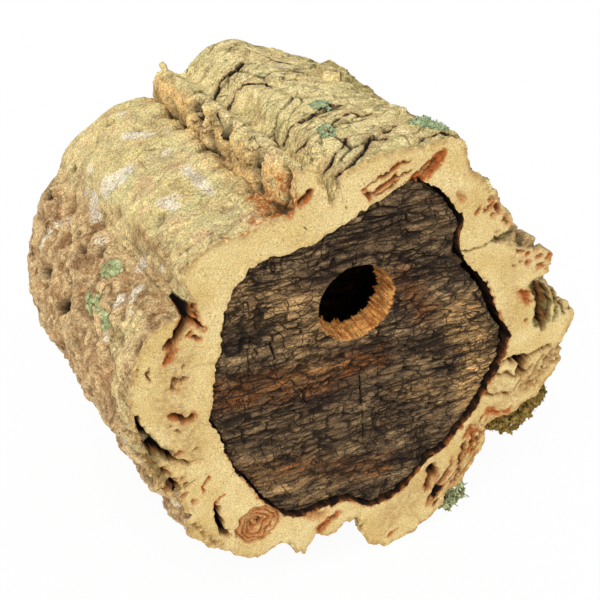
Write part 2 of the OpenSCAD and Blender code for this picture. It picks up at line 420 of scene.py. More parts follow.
class Effects:
    """Shader node groups that several finishes share."""

    def __init__(self) -> None:
        """Build the groups once."""
        self.grain = self._grain()
        self.shade = self._shade()

    @staticmethod
    def _group(
        name: str, inputs: dict[str, float], colours: tuple[str, ...], outputs: dict[str, str]
    ) -> NodeSheet:
        """Start a group with named sockets.

        Args:
            name: Name of the group.
            inputs: Number inputs with their usual values.
            colours: Names of colour inputs.
            outputs: Names of outputs with their socket types.

        Returns:
            A sheet on the new group.
        """
        tree = bpy.data.node_groups.new(name, "ShaderNodeTree")
        for label in colours:
            tree.interface.new_socket(label, in_out="INPUT", socket_type="NodeSocketColor")
        for label, value in inputs.items():
            socket = tree.interface.new_socket(label, in_out="INPUT", socket_type="NodeSocketFloat")
            socket.default_value = value
        for label, kind in outputs.items():
            tree.interface.new_socket(label, in_out="OUTPUT", socket_type=kind)
        return NodeSheet(tree)

    def _grain(self) -> bpy.types.NodeTree:
        """Make fine crumbs: a tone about 1 and a height.

        Returns:
            The group.
        """
        outputs = {"Tone": "NodeSocketFloat", "Height": "NodeSocketFloat"}
        sheet = self._group("crumbs", {"Scale": 900.0, "Contrast": 0.5}, (), outputs)
        given = sheet.add("NodeGroupInput").outputs
        spot = sheet.add("ShaderNodeTexCoord").outputs["Object"]
        values = {"Vector": spot, "Scale": given["Scale"], "Detail": 3.0}
        coarse = sheet.add("ShaderNodeTexNoise", values).outputs[0]
        values = {"Vector": spot, "Scale": sheet.times(given["Scale"], 3.1), "Detail": 2.0}
        fine = sheet.add("ShaderNodeTexNoise", values).outputs[0]
        both = sheet.plus(sheet.times(coarse, 0.6), sheet.times(fine, 0.4))
        swing = sheet.times(sheet.calc("SUBTRACT", both, 0.5), given["Contrast"])
        tone = sheet.plus(sheet.times(swing, 4.0), 1.0)
        sheet.add("NodeGroupOutput", {"Tone": tone, "Height": both})
        return sheet.tree

    def _shade(self) -> bpy.types.NodeTree:
        """Lay a tone over a colour and fill its cracks, and the painted shade that some finishes pass in as
        cracks, with dark dust.

        Returns:
            The group.
        """
        values = {"Tone": 1.0, "Crack": 0.0}
        sheet = self._group("cracked", values, ("Color", "Dust"), {"Color": "NodeSocketColor"})
        given = sheet.add("NodeGroupInput").outputs
        values = {0: given["Color"], 1: given["Tone"]}
        toned = sheet.add("ShaderNodeVectorMath", values, operation="MULTIPLY").outputs[0]
        sheet.add("NodeGroupOutput", {"Color": sheet.mix(given["Crack"], toned, given["Dust"])})
        return sheet.tree


class Finish(NodeSheet):
    """A procedural material with crumbs in its tone and its surface, and the sheet of its nodes."""

    def __init__(self, name: str, effects: Effects) -> None:
        """Start the material.

        Args:
            name: Name of the material.
            effects: Shared groups.
        """
        self.material = bpy.data.materials.new(name)
        self.material.use_nodes = True
        super().__init__(self.material.node_tree)
        self.shader = self.tree.nodes["Principled BSDF"]
        self.effects = effects

    def crumbs(self, scale: float, contrast: float) -> tuple[Socket, Socket]:
        """Place the shared crumbs.

        Args:
            scale: How fine they are.
            contrast: Strength of their tone.

        Returns:
            Tone and height.
        """
        values = {"Scale": scale, "Contrast": contrast}
        outputs = self.add("ShaderNodeGroup", values, node_tree=self.effects.grain).outputs
        return outputs["Tone"], outputs["Height"]

    def close(
        self,
        colour: Socket,
        tone: Socket,
        crack: Number,
        dust: Colour,
        height: Socket,
        relief: float,
        rough: float,
        metal: float = 0.0,
    ) -> Material:
        """Lay tone and cracks over the colour and link the shader.

        Args:
            colour: Colour of the surface.
            tone: Tone of its crumbs.
            crack: Where cracks are, and where some finishes paint shade.
            dust: Colour of the cracks and of that painted shade.
            height: Height of the fine surface.
            relief: Depth of the fine surface in mm.
            rough: Roughness.
            metal: Whether the surface is metal.

        Returns:
            The material.
        """
        values = {"Color": colour, "Dust": linear(dust), "Tone": tone, "Crack": crack}
        shaded = self.add("ShaderNodeGroup", values, node_tree=self.effects.shade).outputs["Color"]
        bump = self.add("ShaderNodeBump", {"Height": height, "Strength": 0.9, "Distance": relief * MM})
        self.tree.links.new(shaded, self.shader.inputs["Base Color"])
        self.tree.links.new(bump.outputs["Normal"], self.shader.inputs["Normal"])
        self.shader.inputs["Roughness"].default_value = rough
        self.shader.inputs["Specular IOR Level"].default_value = 0.2 if metal == 0.0 else 0.5
        self.shader.inputs["Metallic"].default_value = metal
        return self.material


@dataclass(frozen=True)
class BarkFinish:
    """Weathered outside of the cork bark."""

    straw: Colour = (240, 217, 154)
    olive: Colour = (230, 208, 143)
    ashen: Colour = (250, 229, 166)
    tan: Colour = (224, 192, 140)
    brown: Colour = (176, 136, 92)
    # dark brown of dirt, pores and lines, also used as painted shade along the foot of the groove wall
    dirt: Colour = (112, 78, 44)
    orange: Colour = (238, 194, 126)
    crest: Colour = (182, 166, 102)
    pale: Colour = (244, 232, 204)
    lilac: Colour = (226, 208, 184)
    red: Colour = (194, 116, 52)
    green: Colour = (176, 172, 112)
    rose: Colour = (218, 180, 136)
    sage: Colour = (216, 208, 150)
    # dust fills the cracks and pits, and also the painted shade of the groove foot and the lobe gaps
    dust: Colour = (36, 22, 12)

    def material(self, effects: Effects) -> Material:
        """Mix the bark's tones by the masks that its meshes carry.

        Args:
            effects: Shared groups.

        Returns:
            The material.
        """
        sheet = Finish("cork_bark", effects)
        middle = sheet.clouds(260.0, 5.0, warp=0.3)
        small = sheet.clouds(620.0, 3.0)
        tone, height = sheet.crumbs(1350.0, 0.95)
        colour = sheet.veil(self.olive, sheet.clouds(55.0, 4.0, warp=0.4), (0.38, 0.62), self.straw)
        colour = sheet.veil(colour, sheet.clouds(120.0, 5.0, warp=0.6), (0.5, 0.66, 0.0, 0.75), self.rose)
        colour = sheet.veil(colour, sheet.clouds(95.0, 5.0, warp=0.6), (0.5, 0.68, 0.0, 0.7), self.sage)
        colour = sheet.veil(colour, middle, (0.4, 0.6), self.ashen, "crown")
        colour = sheet.veil(colour, middle, (0.62, 0.44), self.crest, "crest")
        colour = sheet.mix(sheet.mask("tan"), colour, self.tan)
        colour = sheet.veil(colour, middle, (0.6, 0.42), self.green, "green")
        colour = sheet.veil(colour, middle, (0.36, 0.58), self.brown, "brown")
        colour = sheet.veil(colour, middle, (0.38, 0.6, 0.3, 0.9), self.orange, "wall")
        # this mask is partly dirt and partly painted shade along the foot of the groove wall
        colour = sheet.veil(colour, small, (0.3, 0.55, 0.2, 0.85), self.dirt, "dirt")
        patch = sheet.veil(self.pale, sheet.clouds(150.0, 2.0), (0.5, 0.64), self.lilac)
        colour = sheet.veil(colour, small, (0.3, 0.52, 0.3, 0.95), patch, "pale")
        colour = sheet.veil(colour, small, (0.38, 0.58, 0.25, 0.95), self.red, "red")
        pores = sheet.span(sheet.spots(520.0), 0.3, 0.12)
        pores = sheet.times(pores, sheet.span(small, 0.5, 0.62, 0.0, 0.7))
        colour = sheet.mix(pores, colour, self.dirt)
        edge, cell_tone = sheet.cells(150.0, pull=0.007)
        lines = sheet.span(sheet.clouds(70.0, 3.0), 0.5, 0.62, 0.0, 0.35)
        lines = sheet.times(sheet.span(edge, 0.05, 0.0), lines)
        colour = sheet.mix(lines, colour, self.dirt)
        layers = sheet.clouds(130.0, 6.0, stretch=(0.5, 1, 0.5), warp=0.5)
        flaked = sheet.span(sheet.calc("ABSOLUTE", sheet.calc("SUBTRACT", layers, 0.5), 0.0), 0.014, 0.0)
        flaked = sheet.times(flaked, sheet.span(sheet.clouds(48.0, 3.0), 0.44, 0.58, 0.1, 0.9))
        dry = sheet.plus(sheet.mask("crown"), sheet.plus(sheet.mask("wall"), sheet.mask("tan")))
        flaked = sheet.times(flaked, sheet.span(dry, 0.0, 1.0, 0.3, 1.0))
        colour = sheet.mix(flaked, colour, self.dirt)
        lines = sheet.plus(lines, flaked)
        height = sheet.plus(height, sheet.plus(middle, small))
        height = sheet.calc("SUBTRACT", height, sheet.times(lines, 0.8))
        height = sheet.plus(height, sheet.times(sheet.span(layers, 0.46, 0.54), 0.7))
        tone = sheet.times(tone, sheet.span(cell_tone, 0.2, 0.8, 0.93, 1.05))
        # the crack mask holds real cracks and pits, plus painted shade along the groove foot and between the
        # wall's lobes
        return sheet.close(colour, tone, sheet.mask("crack"), self.dust, height, 1.0, 0.92)


@dataclass(frozen=True)
class SawnFinish:
    """Sawn face of the cork."""

    cream: Colour = (222, 198, 140)
    tan: Colour = (206, 176, 112)
    speck: Colour = (164, 122, 68)
    red: Colour = (176, 98, 44)
    bark: Colour = (166, 126, 74)
    moss: Colour = (84, 78, 34)
    # wall and dust colour the openings: brown walls, then near-black painted shade as they get deeper
    wall: Colour = (142, 88, 42)
    dust: Colour = (24, 13, 7)

    def material(self, effects: Effects) -> Material:
        """Mix cream cork with specks and stained edges, and paint the openings darker with depth as shade.

        Args:
            effects: Shared groups.

        Returns:
            The material.
        """
        sheet = Finish("sawn_cork", effects)
        middle = sheet.clouds(420.0, 4.0)
        tone, height = sheet.crumbs(1700.0, 0.6)
        colour = sheet.veil(self.cream, sheet.clouds(60.0, 5.0, warp=0.5), (0.36, 0.68), self.tan)
        edge, _ = sheet.cells(70.0, pull=0.012)
        lines = sheet.span(sheet.clouds(40.0, 3.0), 0.52, 0.6, 0.0, 0.4)
        lines = sheet.times(sheet.span(edge, 0.02, 0.0), lines)
        colour = sheet.mix(lines, colour, self.speck)
        dots = sheet.span(sheet.spots(620.0), 0.26, 0.1)
        dots = sheet.times(dots, sheet.span(sheet.clouds(150.0, 3.0), 0.45, 0.58))
        colour = sheet.mix(dots, colour, self.speck)
        colour = sheet.veil(colour, middle, (0.35, 0.6), self.bark, "rim")
        colour = sheet.veil(colour, middle, (0.32, 0.58), self.bark, "bark")
        colour = sheet.veil(colour, middle, (0.28, 0.46), self.red, "red")
        colour = sheet.mix(sheet.mask("moss"), colour, self.moss)
        # painted shade: the openings turn brown, then near black, the deeper they go
        opening = sheet.mask("open")
        colour = sheet.veil(colour, opening, (0.1, 0.4, 0.0, 0.8), self.wall)
        height = sheet.plus(height, sheet.times(middle, 0.6))
        return sheet.close(colour, tone, sheet.span(opening, 0.35, 0.8), self.dust, height, 0.55, 0.9)


@dataclass(frozen=True)
class HollowFinish:
    """Inner wall of the tube, with painted shade."""

    orange: Colour = (158, 96, 44)
    # the brown streaks and the near-black dust are painted shade of the hollow and of the gap round the panel
    brown: Colour = (44, 24, 12)
    dust: Colour = (10, 6, 4)

    def material(self, effects: Effects) -> Material:
        """Mix orange-brown inner bark with dark brown streaks, and paint near-black shade where the crack
        mask says.

        Args:
            effects: Shared groups.

        Returns:
            The material.
        """
        sheet = Finish("inner_bark_and_shade", effects)
        streaks = sheet.clouds(300.0, 5.0, stretch=(1, 0.5, 1))
        tone, height = sheet.crumbs(800.0, 0.6)
        # painted shade: dark brown streaks over the orange, and near black in the crack mask
        colour = sheet.veil(self.orange, streaks, (0.4, 0.56), self.brown)
        return sheet.close(colour, tone, sheet.mask("crack"), self.dust, height, 0.8, 0.92)


@dataclass(frozen=True)
class DarkBarkFinish:
    """Dark bark of the two end panels."""

    dark: Colour = (70, 51, 36)
    grey: Colour = (122, 96, 66)
    light: Colour = (178, 148, 104)
    rust: Colour = (132, 78, 34)
    orange: Colour = (192, 118, 52)
    ashen: Colour = (206, 162, 104)
    cut: Colour = (222, 164, 90)
    cut_deep: Colour = (168, 102, 48)
    dust: Colour = (14, 8, 5)

    def material(self, effects: Effects) -> Material:
        """Mix dark flakes, rusty bands and the pale cut of the entrance.

        Args:
            effects: Shared groups.

        Returns:
            The material.
        """
        sheet = Finish("dark_bark", effects)
        streaks = sheet.clouds(110.0, 5.0, stretch=(0.3, 1, 1), warp=0.3)
        fibres = sheet.clouds(700.0, 4.0, stretch=(0.14, 1, 1))
        middle = sheet.clouds(420.0, 4.0, stretch=(0.45, 1, 1))
        tone, height = sheet.crumbs(1700.0, 1.1)
        colour = sheet.veil(self.dark, streaks, (0.38, 0.62), self.grey)
        colour = sheet.veil(colour, middle, (0.36, 0.6), self.light, "flake")
        colour = sheet.veil(colour, middle, (0.3, 0.6), self.rust, "rust")
        colour = sheet.veil(colour, middle, (0.4, 0.6), self.orange, "orange")
        colour = sheet.veil(colour, middle, (0.28, 0.52), self.ashen, "ashen")
        colour = sheet.veil(colour, fibres, (0.5, 0.32, 0.0, 0.75), self.dust)
        strands = sheet.clouds(900.0, 3.0, stretch=(1, 0.12, 1))
        cut = sheet.veil(self.cut_deep, strands, (0.38, 0.6), self.cut)
        colour = sheet.mix(sheet.mask("cut"), colour, cut)
        edge, cell_tone = sheet.cells(430.0, (0.5, 1, 1), 0.0036)
        wide_edge, wide_tone = sheet.cells(190.0, (0.5, 1, 1), 0.007)
        lines = sheet.times(sheet.span(edge, 0.07, 0.0), sheet.span(streaks, 0.6, 0.4, 0.35, 0.9))
        lines = sheet.calc("MAXIMUM", lines, sheet.span(wide_edge, 0.035, 0.0, 0.0, 0.95))
        lines = sheet.times(lines, sheet.calc("SUBTRACT", 1.0, sheet.mask("cut")))
        crack = sheet.calc("MAXIMUM", sheet.mask("crack"), lines)
        height = sheet.plus(height, sheet.plus(middle, fibres))
        height = sheet.calc("SUBTRACT", height, lines)
        shade = sheet.span(wide_tone, 0.2, 0.8, 0.82, 1.18)
        shade = sheet.times(sheet.span(cell_tone, 0.15, 0.85, 0.72, 1.28), shade)
        tone = sheet.times(tone, shade)
        return sheet.close(colour, tone, crack, self.dust, height, 0.9, 0.85)


@dataclass(frozen=True)
class GrowthFinish:
    """Lichen or moss."""

    name: str
    body: Colour
    tip: Colour
    dust: Colour

    def material(self, effects: Effects) -> Material:
        """Mix the growth's body and tips.

        Args:
            effects: Shared groups.

        Returns:
            The material.
        """
        sheet = Finish(self.name, effects)
        tone, height = sheet.crumbs(1600.0, 0.4)
        colour = sheet.veil(self.body, sheet.clouds(500.0, 3.0), (0.4, 0.6), self.tip)
        hollow = sheet.span(sheet.clouds(800.0, 2.0), 0.4, 0.25, 0.0, 0.7)
        return sheet.close(colour, tone, hollow, self.dust, height, 0.5, 0.95)


@dataclass(frozen=True)
class SteelFinish:
    """Zinc-coated steel of the hanger, its screws and the pins."""

    bright: Colour = (176, 178, 178)
    dull: Colour = (128, 131, 132)
    dust: Colour = (84, 66, 48)

    def material(self, effects: Effects) -> Material:
        """Mix bright and dull zinc with a little rust dust.

        Args:
            effects: Shared groups.

        Returns:
            The material.
        """
        sheet = Finish("zinc_steel", effects)
        tone, height = sheet.crumbs(1400.0, 0.16)
        colour = sheet.veil(self.bright, sheet.spots(260.0), (0.2, 0.7), self.dull)
        stain = sheet.span(sheet.clouds(140.0, 4.0), 0.6, 0.75, 0.0, 0.6)
        return sheet.close(colour, tone, stain, self.dust, height, 0.06, 0.42, metal=1.0)


@dataclass(frozen=True)
class PegFinish:
    """Plain wood of the stop pegs."""

    light: Colour = (206, 170, 116)
    dark: Colour = (160, 118, 70)
    dust: Colour = (90, 60, 34)

    def material(self, effects: Effects) -> Material:
        """Mix light and dark grain.

        Args:
            effects: Shared groups.

        Returns:
            The material.
        """
        sheet = Finish("peg_wood", effects)
        grain = sheet.clouds(420.0, 4.0, stretch=(0.25, 1, 0.25))
        tone, height = sheet.crumbs(1200.0, 0.25)
        colour = sheet.veil(self.light, grain, (0.4, 0.6), self.dark)
        pores = sheet.span(sheet.spots(900.0), 0.12, 0.05, 0.0, 0.6)
        return sheet.close(colour, tone, pores, self.dust, height, 0.15, 0.7)


@dataclass
class Sections:
    """Cross sections of the tube about its axis, as front X, front Z, rear X, rear Z."""

    bark: tuple[tuple[float, float, float, float], ...] = (
        (99, 0, 105, -3), (93, 7, 101, 8), (88, 13, 94, 17), (75, 20, 84, 24), (82, 25, 88, 31),
        (83, 31, 86, 38), (79, 36, 80, 45), (70, 39, 73, 49), (58, 45, 64, 52), (60, 54, 63, 60),
        (54, 62, 58, 65), (53, 67, 53, 70), (46, 73, 47, 76), (41, 78, 41, 76), (37, 87, 33, 80),
        (34, 93, 28, 82), (27, 95, 20, 86), (12, 94, 8, 90), (-2, 93, -2, 94), (-13, 90, -13, 92),
        (-18, 78, -20, 87), (-23, 89, -26, 82), (-29, 95, -33, 86), (-32, 89, -38, 79),
        (-34, 79, -38, 70), (-43, 76, -46, 73), (-53, 74, -55, 73), (-62, 73, -63, 70),
        (-70, 69, -70, 65), (-75, 63, -77, 60), (-72, 54, -82, 53), (-75, 48, -85, 47),
        (-82, 47, -88, 43), (-88, 42, -92, 38), (-95, 31, -97, 30), (-97, 20, -100, 20),
        (-98, 8, -104, 8), (-96, -8, -105, -5), (-91, -24, -102, -20), (-87, -30, -97, -35),
        (-82, -37, -92, -50), (-81, -48, -87, -64), (-77, -58, -81, -77), (-66, -68, -73, -90),
        (-57, -77, -63, -99), (-48, -82, -52, -101), (-38, -79, -42, -96), (-31, -87, -34, -92),
        (-27, -88, -27, -91), (-23, -79, -20, -86), (-17, -83, -9, -86), (-8, -78, 3, -83),
        (1, -92, 18, -91), (8, -99, 28, -98), (16, -101, 38, -101), (26, -99, 48, -99),
        (37, -90, 57, -92), (41, -83, 62, -84), (51, -78, 68, -78), (56, -67, 74, -69),
        (60, -57, 77, -60), (62, -47, 78, -52), (72, -46, 84, -49), (80, -40, 89, -44),
        (87, -38, 94, -38), (96, -25, 99, -27), (95, -16, 102, -18), (99, -7, 105, -10),
    )
    hollow: Path2 = (
        (65, 1), (60, 8), (57, 15), (53, 24), (48, 31), (42, 38), (38, 45), (37, 53), (38, 58),
        (35, 63), (31, 69), (26, 74), (20, 78), (13, 80), (3, 76), (-6, 72), (-15, 68), (-25, 64),
        (-34, 62), (-45, 62), (-54, 55), (-58, 48), (-61, 39), (-61, 32), (-63, 25), (-65, 15),
        (-66, 5), (-67, -3), (-64, -9), (-62, -16), (-59, -28), (-53, -38), (-46, -51), (-40, -59),
        (-33, -65), (-26, -66), (-17, -65), (-7, -66), (3, -73), (10, -73), (18, -70), (27, -62),
        (31, -57), (39, -53), (45, -46), (51, -40), (57, -28), (62, -19), (66, -8),
    )

    bark_steps: int = 40
    hollow_steps: int = 24

    def __post_init__(self) -> None:
        """Tabulate lengths along the outside and the reach of the hollow by angle."""
        rows = np.array(self.bark, dtype=float)
        self.front, self.rear = rows[:, :2], rows[:, 2:]
        self.table = np.linspace(0.0, len(rows), len(rows) * self.bark_steps + 1)
        middle = 0.5 * (spline(self.front, self.table) + spline(self.rear, self.table))
        steps = np.linalg.norm(np.diff(middle, axis=0), axis=1)
        self.lengths = np.concatenate([[0.0], np.cumsum(steps)])
        corners = np.array(self.hollow, dtype=float)
        count = len(corners) * self.hollow_steps
        self.inner = spline(corners, np.linspace(0.0, len(corners), count, endpoint=False))

    def spread(self, start: float, end: float, count: int) -> Array:
        """Places from start to end, evenly spaced along the outside."""
        ends = np.interp([start, end], self.table, self.lengths)
        return np.interp(np.linspace(*ends, count), self.lengths, self.table)

    def along(self, place: Array) -> Array:
        """Length along the outside at places."""
        return np.interp(place, self.table, self.lengths)

    def outside(self, place: Array, y: Array) -> Array:
        """Find the plain outside of the tube.

        Args:
            place: Places along the outline.
            y: Depths.

        Returns:
            Points about the axis.
        """
        share = ((y - FRONT_Y) / (REAR_Y - FRONT_Y))[:, None]
        flat = (1 - share) * spline(self.front, place) + share * spline(self.rear, place)
        return space(flat[:, 0], y, flat[:, 1])

    def inside(self, angle: Array, middle: tuple[float, float] = (0.0, 0.0)) -> Array:
        """Find the wall of the hollow.

        Args:
            angle: Angles about the middle.
            middle: Where the angles start from.

        Returns:
            Flat points.
        """
        offset = self.inner - middle
        turn = np.unwrap(np.arctan2(offset[:, 1], offset[:, 0]))
        turn = np.concatenate([turn - 2 * np.pi, turn, turn + 2 * np.pi])
        return np.stack([np.interp(angle, turn, np.tile(self.inner[:, k], 3)) for k in (0, 1)], axis=1)


@dataclass(frozen=True)
class Gash:
    """An opening or stain of a sawn face, drawn along a path about the axis."""

    path: Path2
    reach: float
    depth: float
    red: float = 0.0
    halo: float = 1.2
    moss: float = 0.0
    bark: float = 0.0


@dataclass(frozen=True)
class Mark:
    """A feature of the bark's outside, drawn along a path about the axis."""

    path: Path3
    reach: float
    depth: float = 0.0
    dark: float = 1.0


def marked(base: Array, marks: tuple[Mark, ...], past: float, short: float, fray: Array) -> Array:
    """How clearly the clearest of some marks shows at points.

    Args:
        base: Points about the axis, in mm.
        marks: Marks with their paths and reaches.
        past: How far past its reach a mark ends, in mm.
        short: How far short of its reach it is full, in mm.
        fray: Noise in mm that frays the marks.

    Returns:
        Numbers from 0 to 1.
    """
    return np.maximum.reduce([
        fade(mark.reach + past, mark.reach - short, path_distance(base, mark.path) + fray) for mark in marks
    ])


class Zones:
    """Shares of the bark's regions at points."""

    def __init__(self, place: Array) -> None:
        """Work out the shares.

        Args:
            place: Places along the outline.
        """
        self.crown = band(7.5, 10.5, 22.1, 22.9, place)
        self.wall = band(22.0, 22.8, 24.2, 25.2, place)
        self.left = band(24.3, 25.0, 28.5, 33.0, place)
        self.rough = band(28.5, 33.0, 45.0, 50.0, place)
        self.under = np.clip(fade(45.0, 50.0, place) + fade(10.5, 7.5, place), 0, 1)


class Flakes:
    """Flakes, cracks, crumbs and pocks that the bark has at points."""

    def __init__(self, base: Array, along: Array) -> None:
        """Work out the flakes.

        Args:
            base: Points about the axis, in mm.
            along: Their lengths along the outline in mm.
        """
        y = base[:, 1]
        pull_s = along + 3.5 * fractal(base, 26, 3, 3) + 0.8 * fractal(base, 4, 2, 4)
        pull_y = y + 3.0 * fractal(base, 22, 3, 5) + 0.8 * fractal(base, 4, 2, 6)
        long_way, cross_way = 0.51 * pull_y - 0.86 * pull_s, 0.86 * pull_y + 0.51 * pull_s
        gap, _, self.big_tone, offset = plates(space(long_way / 27, cross_way / 12, 0.4))
        presence = fade(-0.1, 0.25, fractal(base, 26, 2, 9))
        self.big_slope = offset[:, 1]
        self.big_crack = fade(0.05, 0.012, gap) * presence
        self.furrow = fade(0.12, 0.03, gap) * presence
        gap, _, self.small_tone, _ = plates(space(long_way / 17, cross_way / 8, 3.4))
        self.small_crack = fade(0.05, 0.01, gap) * fade(0.05, 0.4, fractal(base, 14, 2, 13))
        _, self.pock_near, self.pock_tone, _ = plates(space(along / 9, y / 11, 7.7))
        self.crumb = fractal(base, 6.0, 5, 17)
        self.ridge = 1.0 - np.abs(fractal(base, 16, 5, 19))


@dataclass
class BarkField:
    """Height of the bark over its plain form and the masks of its finish, per point."""

    height: Array
    masks: dict[str, Array]


@dataclass
class BarkRelief:
    """Plates, cracks, pits and patches of the bark's outside."""

    pits: tuple[Mark, ...] = (
        Mark(((-31, 18, 89), (-36, 14, 83)), 4.2, 8), Mark(((-31, -4, 91), (-35, -7, 86)), 3.6, 8),
        Mark(((-31, -40, 91), (-36, -37, 83)), 4.4, 9), Mark(((-34, 7, 88),), 2.0, 5),
        Mark(((-35, 21, 84),), 2.4, 6), Mark(((-86, -3, 44), (-87, 0, 41)), 1.8, 6),
        Mark(((-101, 11, 16), (-101, 19, 6)), 2.6, 6), Mark(((-81, 52, 54),), 2.0, 4),
        Mark(((-90, 56, 40),), 2.0, 4), Mark(((-57, 17, 73),), 1.2, 3),
        Mark(((-59, -64, 75), (-60, -62, 75)), 1.6, 3), Mark(((22, 14, 89), (24, 22, 89)), 5.0, -3.5, 0),
        Mark(((-88, -65, -30), (-86, -64, -38), (-85, -62, -46)), 3.6, 8, 0.2),
        Mark(((-33, 60, 86),), 0.9, -6, 0),
        Mark(((66, -51, 43), (72, -55, 41), (78, -58, 39)), 5.5, 5, 0.1),
        Mark(((-29, -65, -88), (-27, -63, -88)), 3.0, 3.5, 0),
    )
    cracks: tuple[Mark, ...] = (
        Mark(((-32, 12, 89), (-23, 32, 83), (-18, 37, 86), (-13, 34, 92), (-8, 38, 93)), 1.1, 4.0),
        Mark(
            ((-32, 0, 90), (-21, 21, 83), (-17, 24, 86), (-14, 23, 90), (-10, 15, 93), (-8, 10, 93)),
            0.8, 3.5,
        ),
        Mark(
            ((-31, -43, 92), (-17, -22, 83), (-14, -23, 89), (-11, -25, 92),
             (-8, -25, 93), (4, -19, 93), (9, -19, 93)),
            0.9, 3.5,
        ),
        Mark(
            ((-17, -33, 84), (-15, -37, 88), (-13, -37, 90), (-8, -36, 92), (-2, -33, 93), (8, -27, 93)),
            0.7, 3.0,
        ),
        Mark(((-16, -52, 84), (-14, -55, 89), (-12, -53, 91), (-7, -51, 92), (-4, -47, 93)), 0.7, 3.0),
        Mark(
            ((-15, -62, 87), (-12, -64, 91), (-5, -61, 93), (-1, -57, 93), (3, -52, 93), (8, -54, 94)),
            1.3, 4.5,
        ),
        Mark(((5, -51, 93), (9, -50, 93), (14, -48, 94), (17, -46, 94)), 0.8, 3.0),
        Mark(((9, -27, 93), (11, -31, 93), (16, -30, 93)), 0.9, 3.0),
        Mark(((18, -62, 94), (22, -60, 95), (27, -60, 95), (32, -63, 94)), 0.7, 2.5),
        Mark(((24, 8, 90), (18, 18, 91), (8, 24, 92)), 0.8, 3.0),
        Mark(((14, 36, 89), (4, 45, 92), (-6, 52, 93)), 0.9, 3.0),
        Mark(((-41, 12, 77), (-50, 10, 77), (-60, 14, 74)), 0.35, 1.0),
        Mark(((-84, -20, 47), (-82, -27, 49), (-80, -30, 52)), 0.5, 1.5),
    )
    patches: tuple[Mark, ...] = (
        Mark(((-70, 12, 66), (-76, 16, 61)), 5.0), Mark(((-80, 26, 52), (-82, 18, 49)), 3.4),
        Mark(((-85, -40, 46),), 3.6), Mark(((-90, -33, 40),), 3.0),
        Mark(((-97, 42, 30), (-99, 42, 26)), 2.6), Mark(((-66, -23, 70), (-64, -30, 71)), 2.2),
        Mark(((-78, -25, 48),), 2.4), Mark(((5, 30, 92),), 3.0), Mark(((-97, -32, 26),), 2.4),
        Mark(((-52, -10, 74), (-50, -30, 74)), 2.0), Mark(((-60, 36, 70), (-54, 30, 72)), 3.4),
    )
    red: tuple[Mark, ...] = (
        Mark(((-37, -50, 77), (-38, -60, 77)), 5.0), Mark(((-33, -55, 86), (-35, -62, 80)), 3.0),
        Mark(((-57, -64, 76), (-49, -65, 74), (-42, -64, 76)), 1.3),
    )
    plate_height: float = 2.5
    plate_pitch: float = 40.0
    plate_waves: Path3 = ((23, 1, 0.1), (14, -1.6, 0.4), (9, 0.7, 0.75))
    plate_shares: Path2 = (
        (0, 0.9), (8, 0.7), (12, 0.25), (22, 0.2), (29, 0.4), (34, 1.2), (46, 1.2), (52, 0.9), (68, 0.9),
    )
    lobe_height: float = 4.0
    lobe_ends: tuple[float, ...] = (-25, 8, 26, 50, 70, 79, 93, 109, 123, 155)
    lobe_shares: Path2 = ((21.9, 0), (22.6, 1), (24.3, 1), (25.1, 0))
    roll_height: float = 2.0
    roll_shares: Path2 = ((24.1, 0), (24.6, 1), (25, 1), (25.7, 0))
    stains: tuple[Mark, ...] = (
        Mark(((-60, -63, 75), (-55, -64, 75)), 1.0), Mark(((-50, -60, 74), (-42, -56, 76)), 2.0),
        Mark(((-71, -58, 64), (-75, -36, 61), (-78, -20, 57)), 5.0),
        Mark(((-84, -60, 50), (-82, -40, 52)), 5.0),
    )
    bleached: Path3 = ((-91, -52, 38), (-96, -46, 28), (-98, -56, 16), (-97, -58, 0), (-93, -60, -16))
    pins: Path3 = (
        (55.2, 52, 68.9), (-62.9, 52, 70.3), (-104.1, 52, -5.3), (-27.0, 52, -90.7), (88.1, 52, -43.6),
    )

    def main_form(self, place: Array, behind: Array) -> tuple[Array, Array]:
        """Long plates of the bark, lobes and roll beside the groove.

        Args:
            place: Places along the outline.
            behind: Distances behind the front face in mm.

        Returns:
            Heights and the distances to the nearest gap between lobes.
        """
        waves = [
            np.sin(2 * np.pi * (count * place / OUTLINE_POINTS + per * behind / self.plate_pitch + start))
            for count, per, start in self.plate_waves
        ]
        height = self.plate_height * np.interp(place, *zip(*self.plate_shares)) * np.mean(waves, axis=0)
        bent = behind + 3.0 * (place - 23.5)
        index = np.clip(np.searchsorted(self.lobe_ends, bent, side="right"), 1, len(self.lobe_ends) - 1)
        start, end = np.array(self.lobe_ends)[index - 1], np.array(self.lobe_ends)[index]
        across = np.clip(2.0 * (bent - start) / (end - start) - 1.0, -1, 1)
        lobe = self.lobe_height * (0.5 - np.abs(across) ** 2.4) + 1.2 * ((index - 1) % 3 - 1)
        height = height + np.interp(place, *zip(*self.lobe_shares)) * lobe
        height = height + self.roll_height * np.interp(place, *zip(*self.roll_shares))
        return height, (1.0 - np.abs(across)) * (end - start) / 2

    def survey(self, base: Array, place: Array, along: Array) -> BarkField:
        """Work out the relief at points of the plain form.

        Args:
            base: Points about the axis, in mm.
            place: Their places along the outline.
            along: Their lengths along the outline in mm.

        Returns:
            Heights and masks.
        """
        y = base[:, 1]
        zones = Zones(place)
        flakes = Flakes(base, along)
        crumb, ridge = flakes.crumb, flakes.ridge
        pocks = fade(0.36, 0.14, flakes.pock_near + 0.12 * crumb) * (flakes.pock_tone > 0.6)
        height, lobe_gap = self.main_form(place, y - FRONT_Y + 2.2 * fractal(base, 9, 3, 29) * zones.wall)
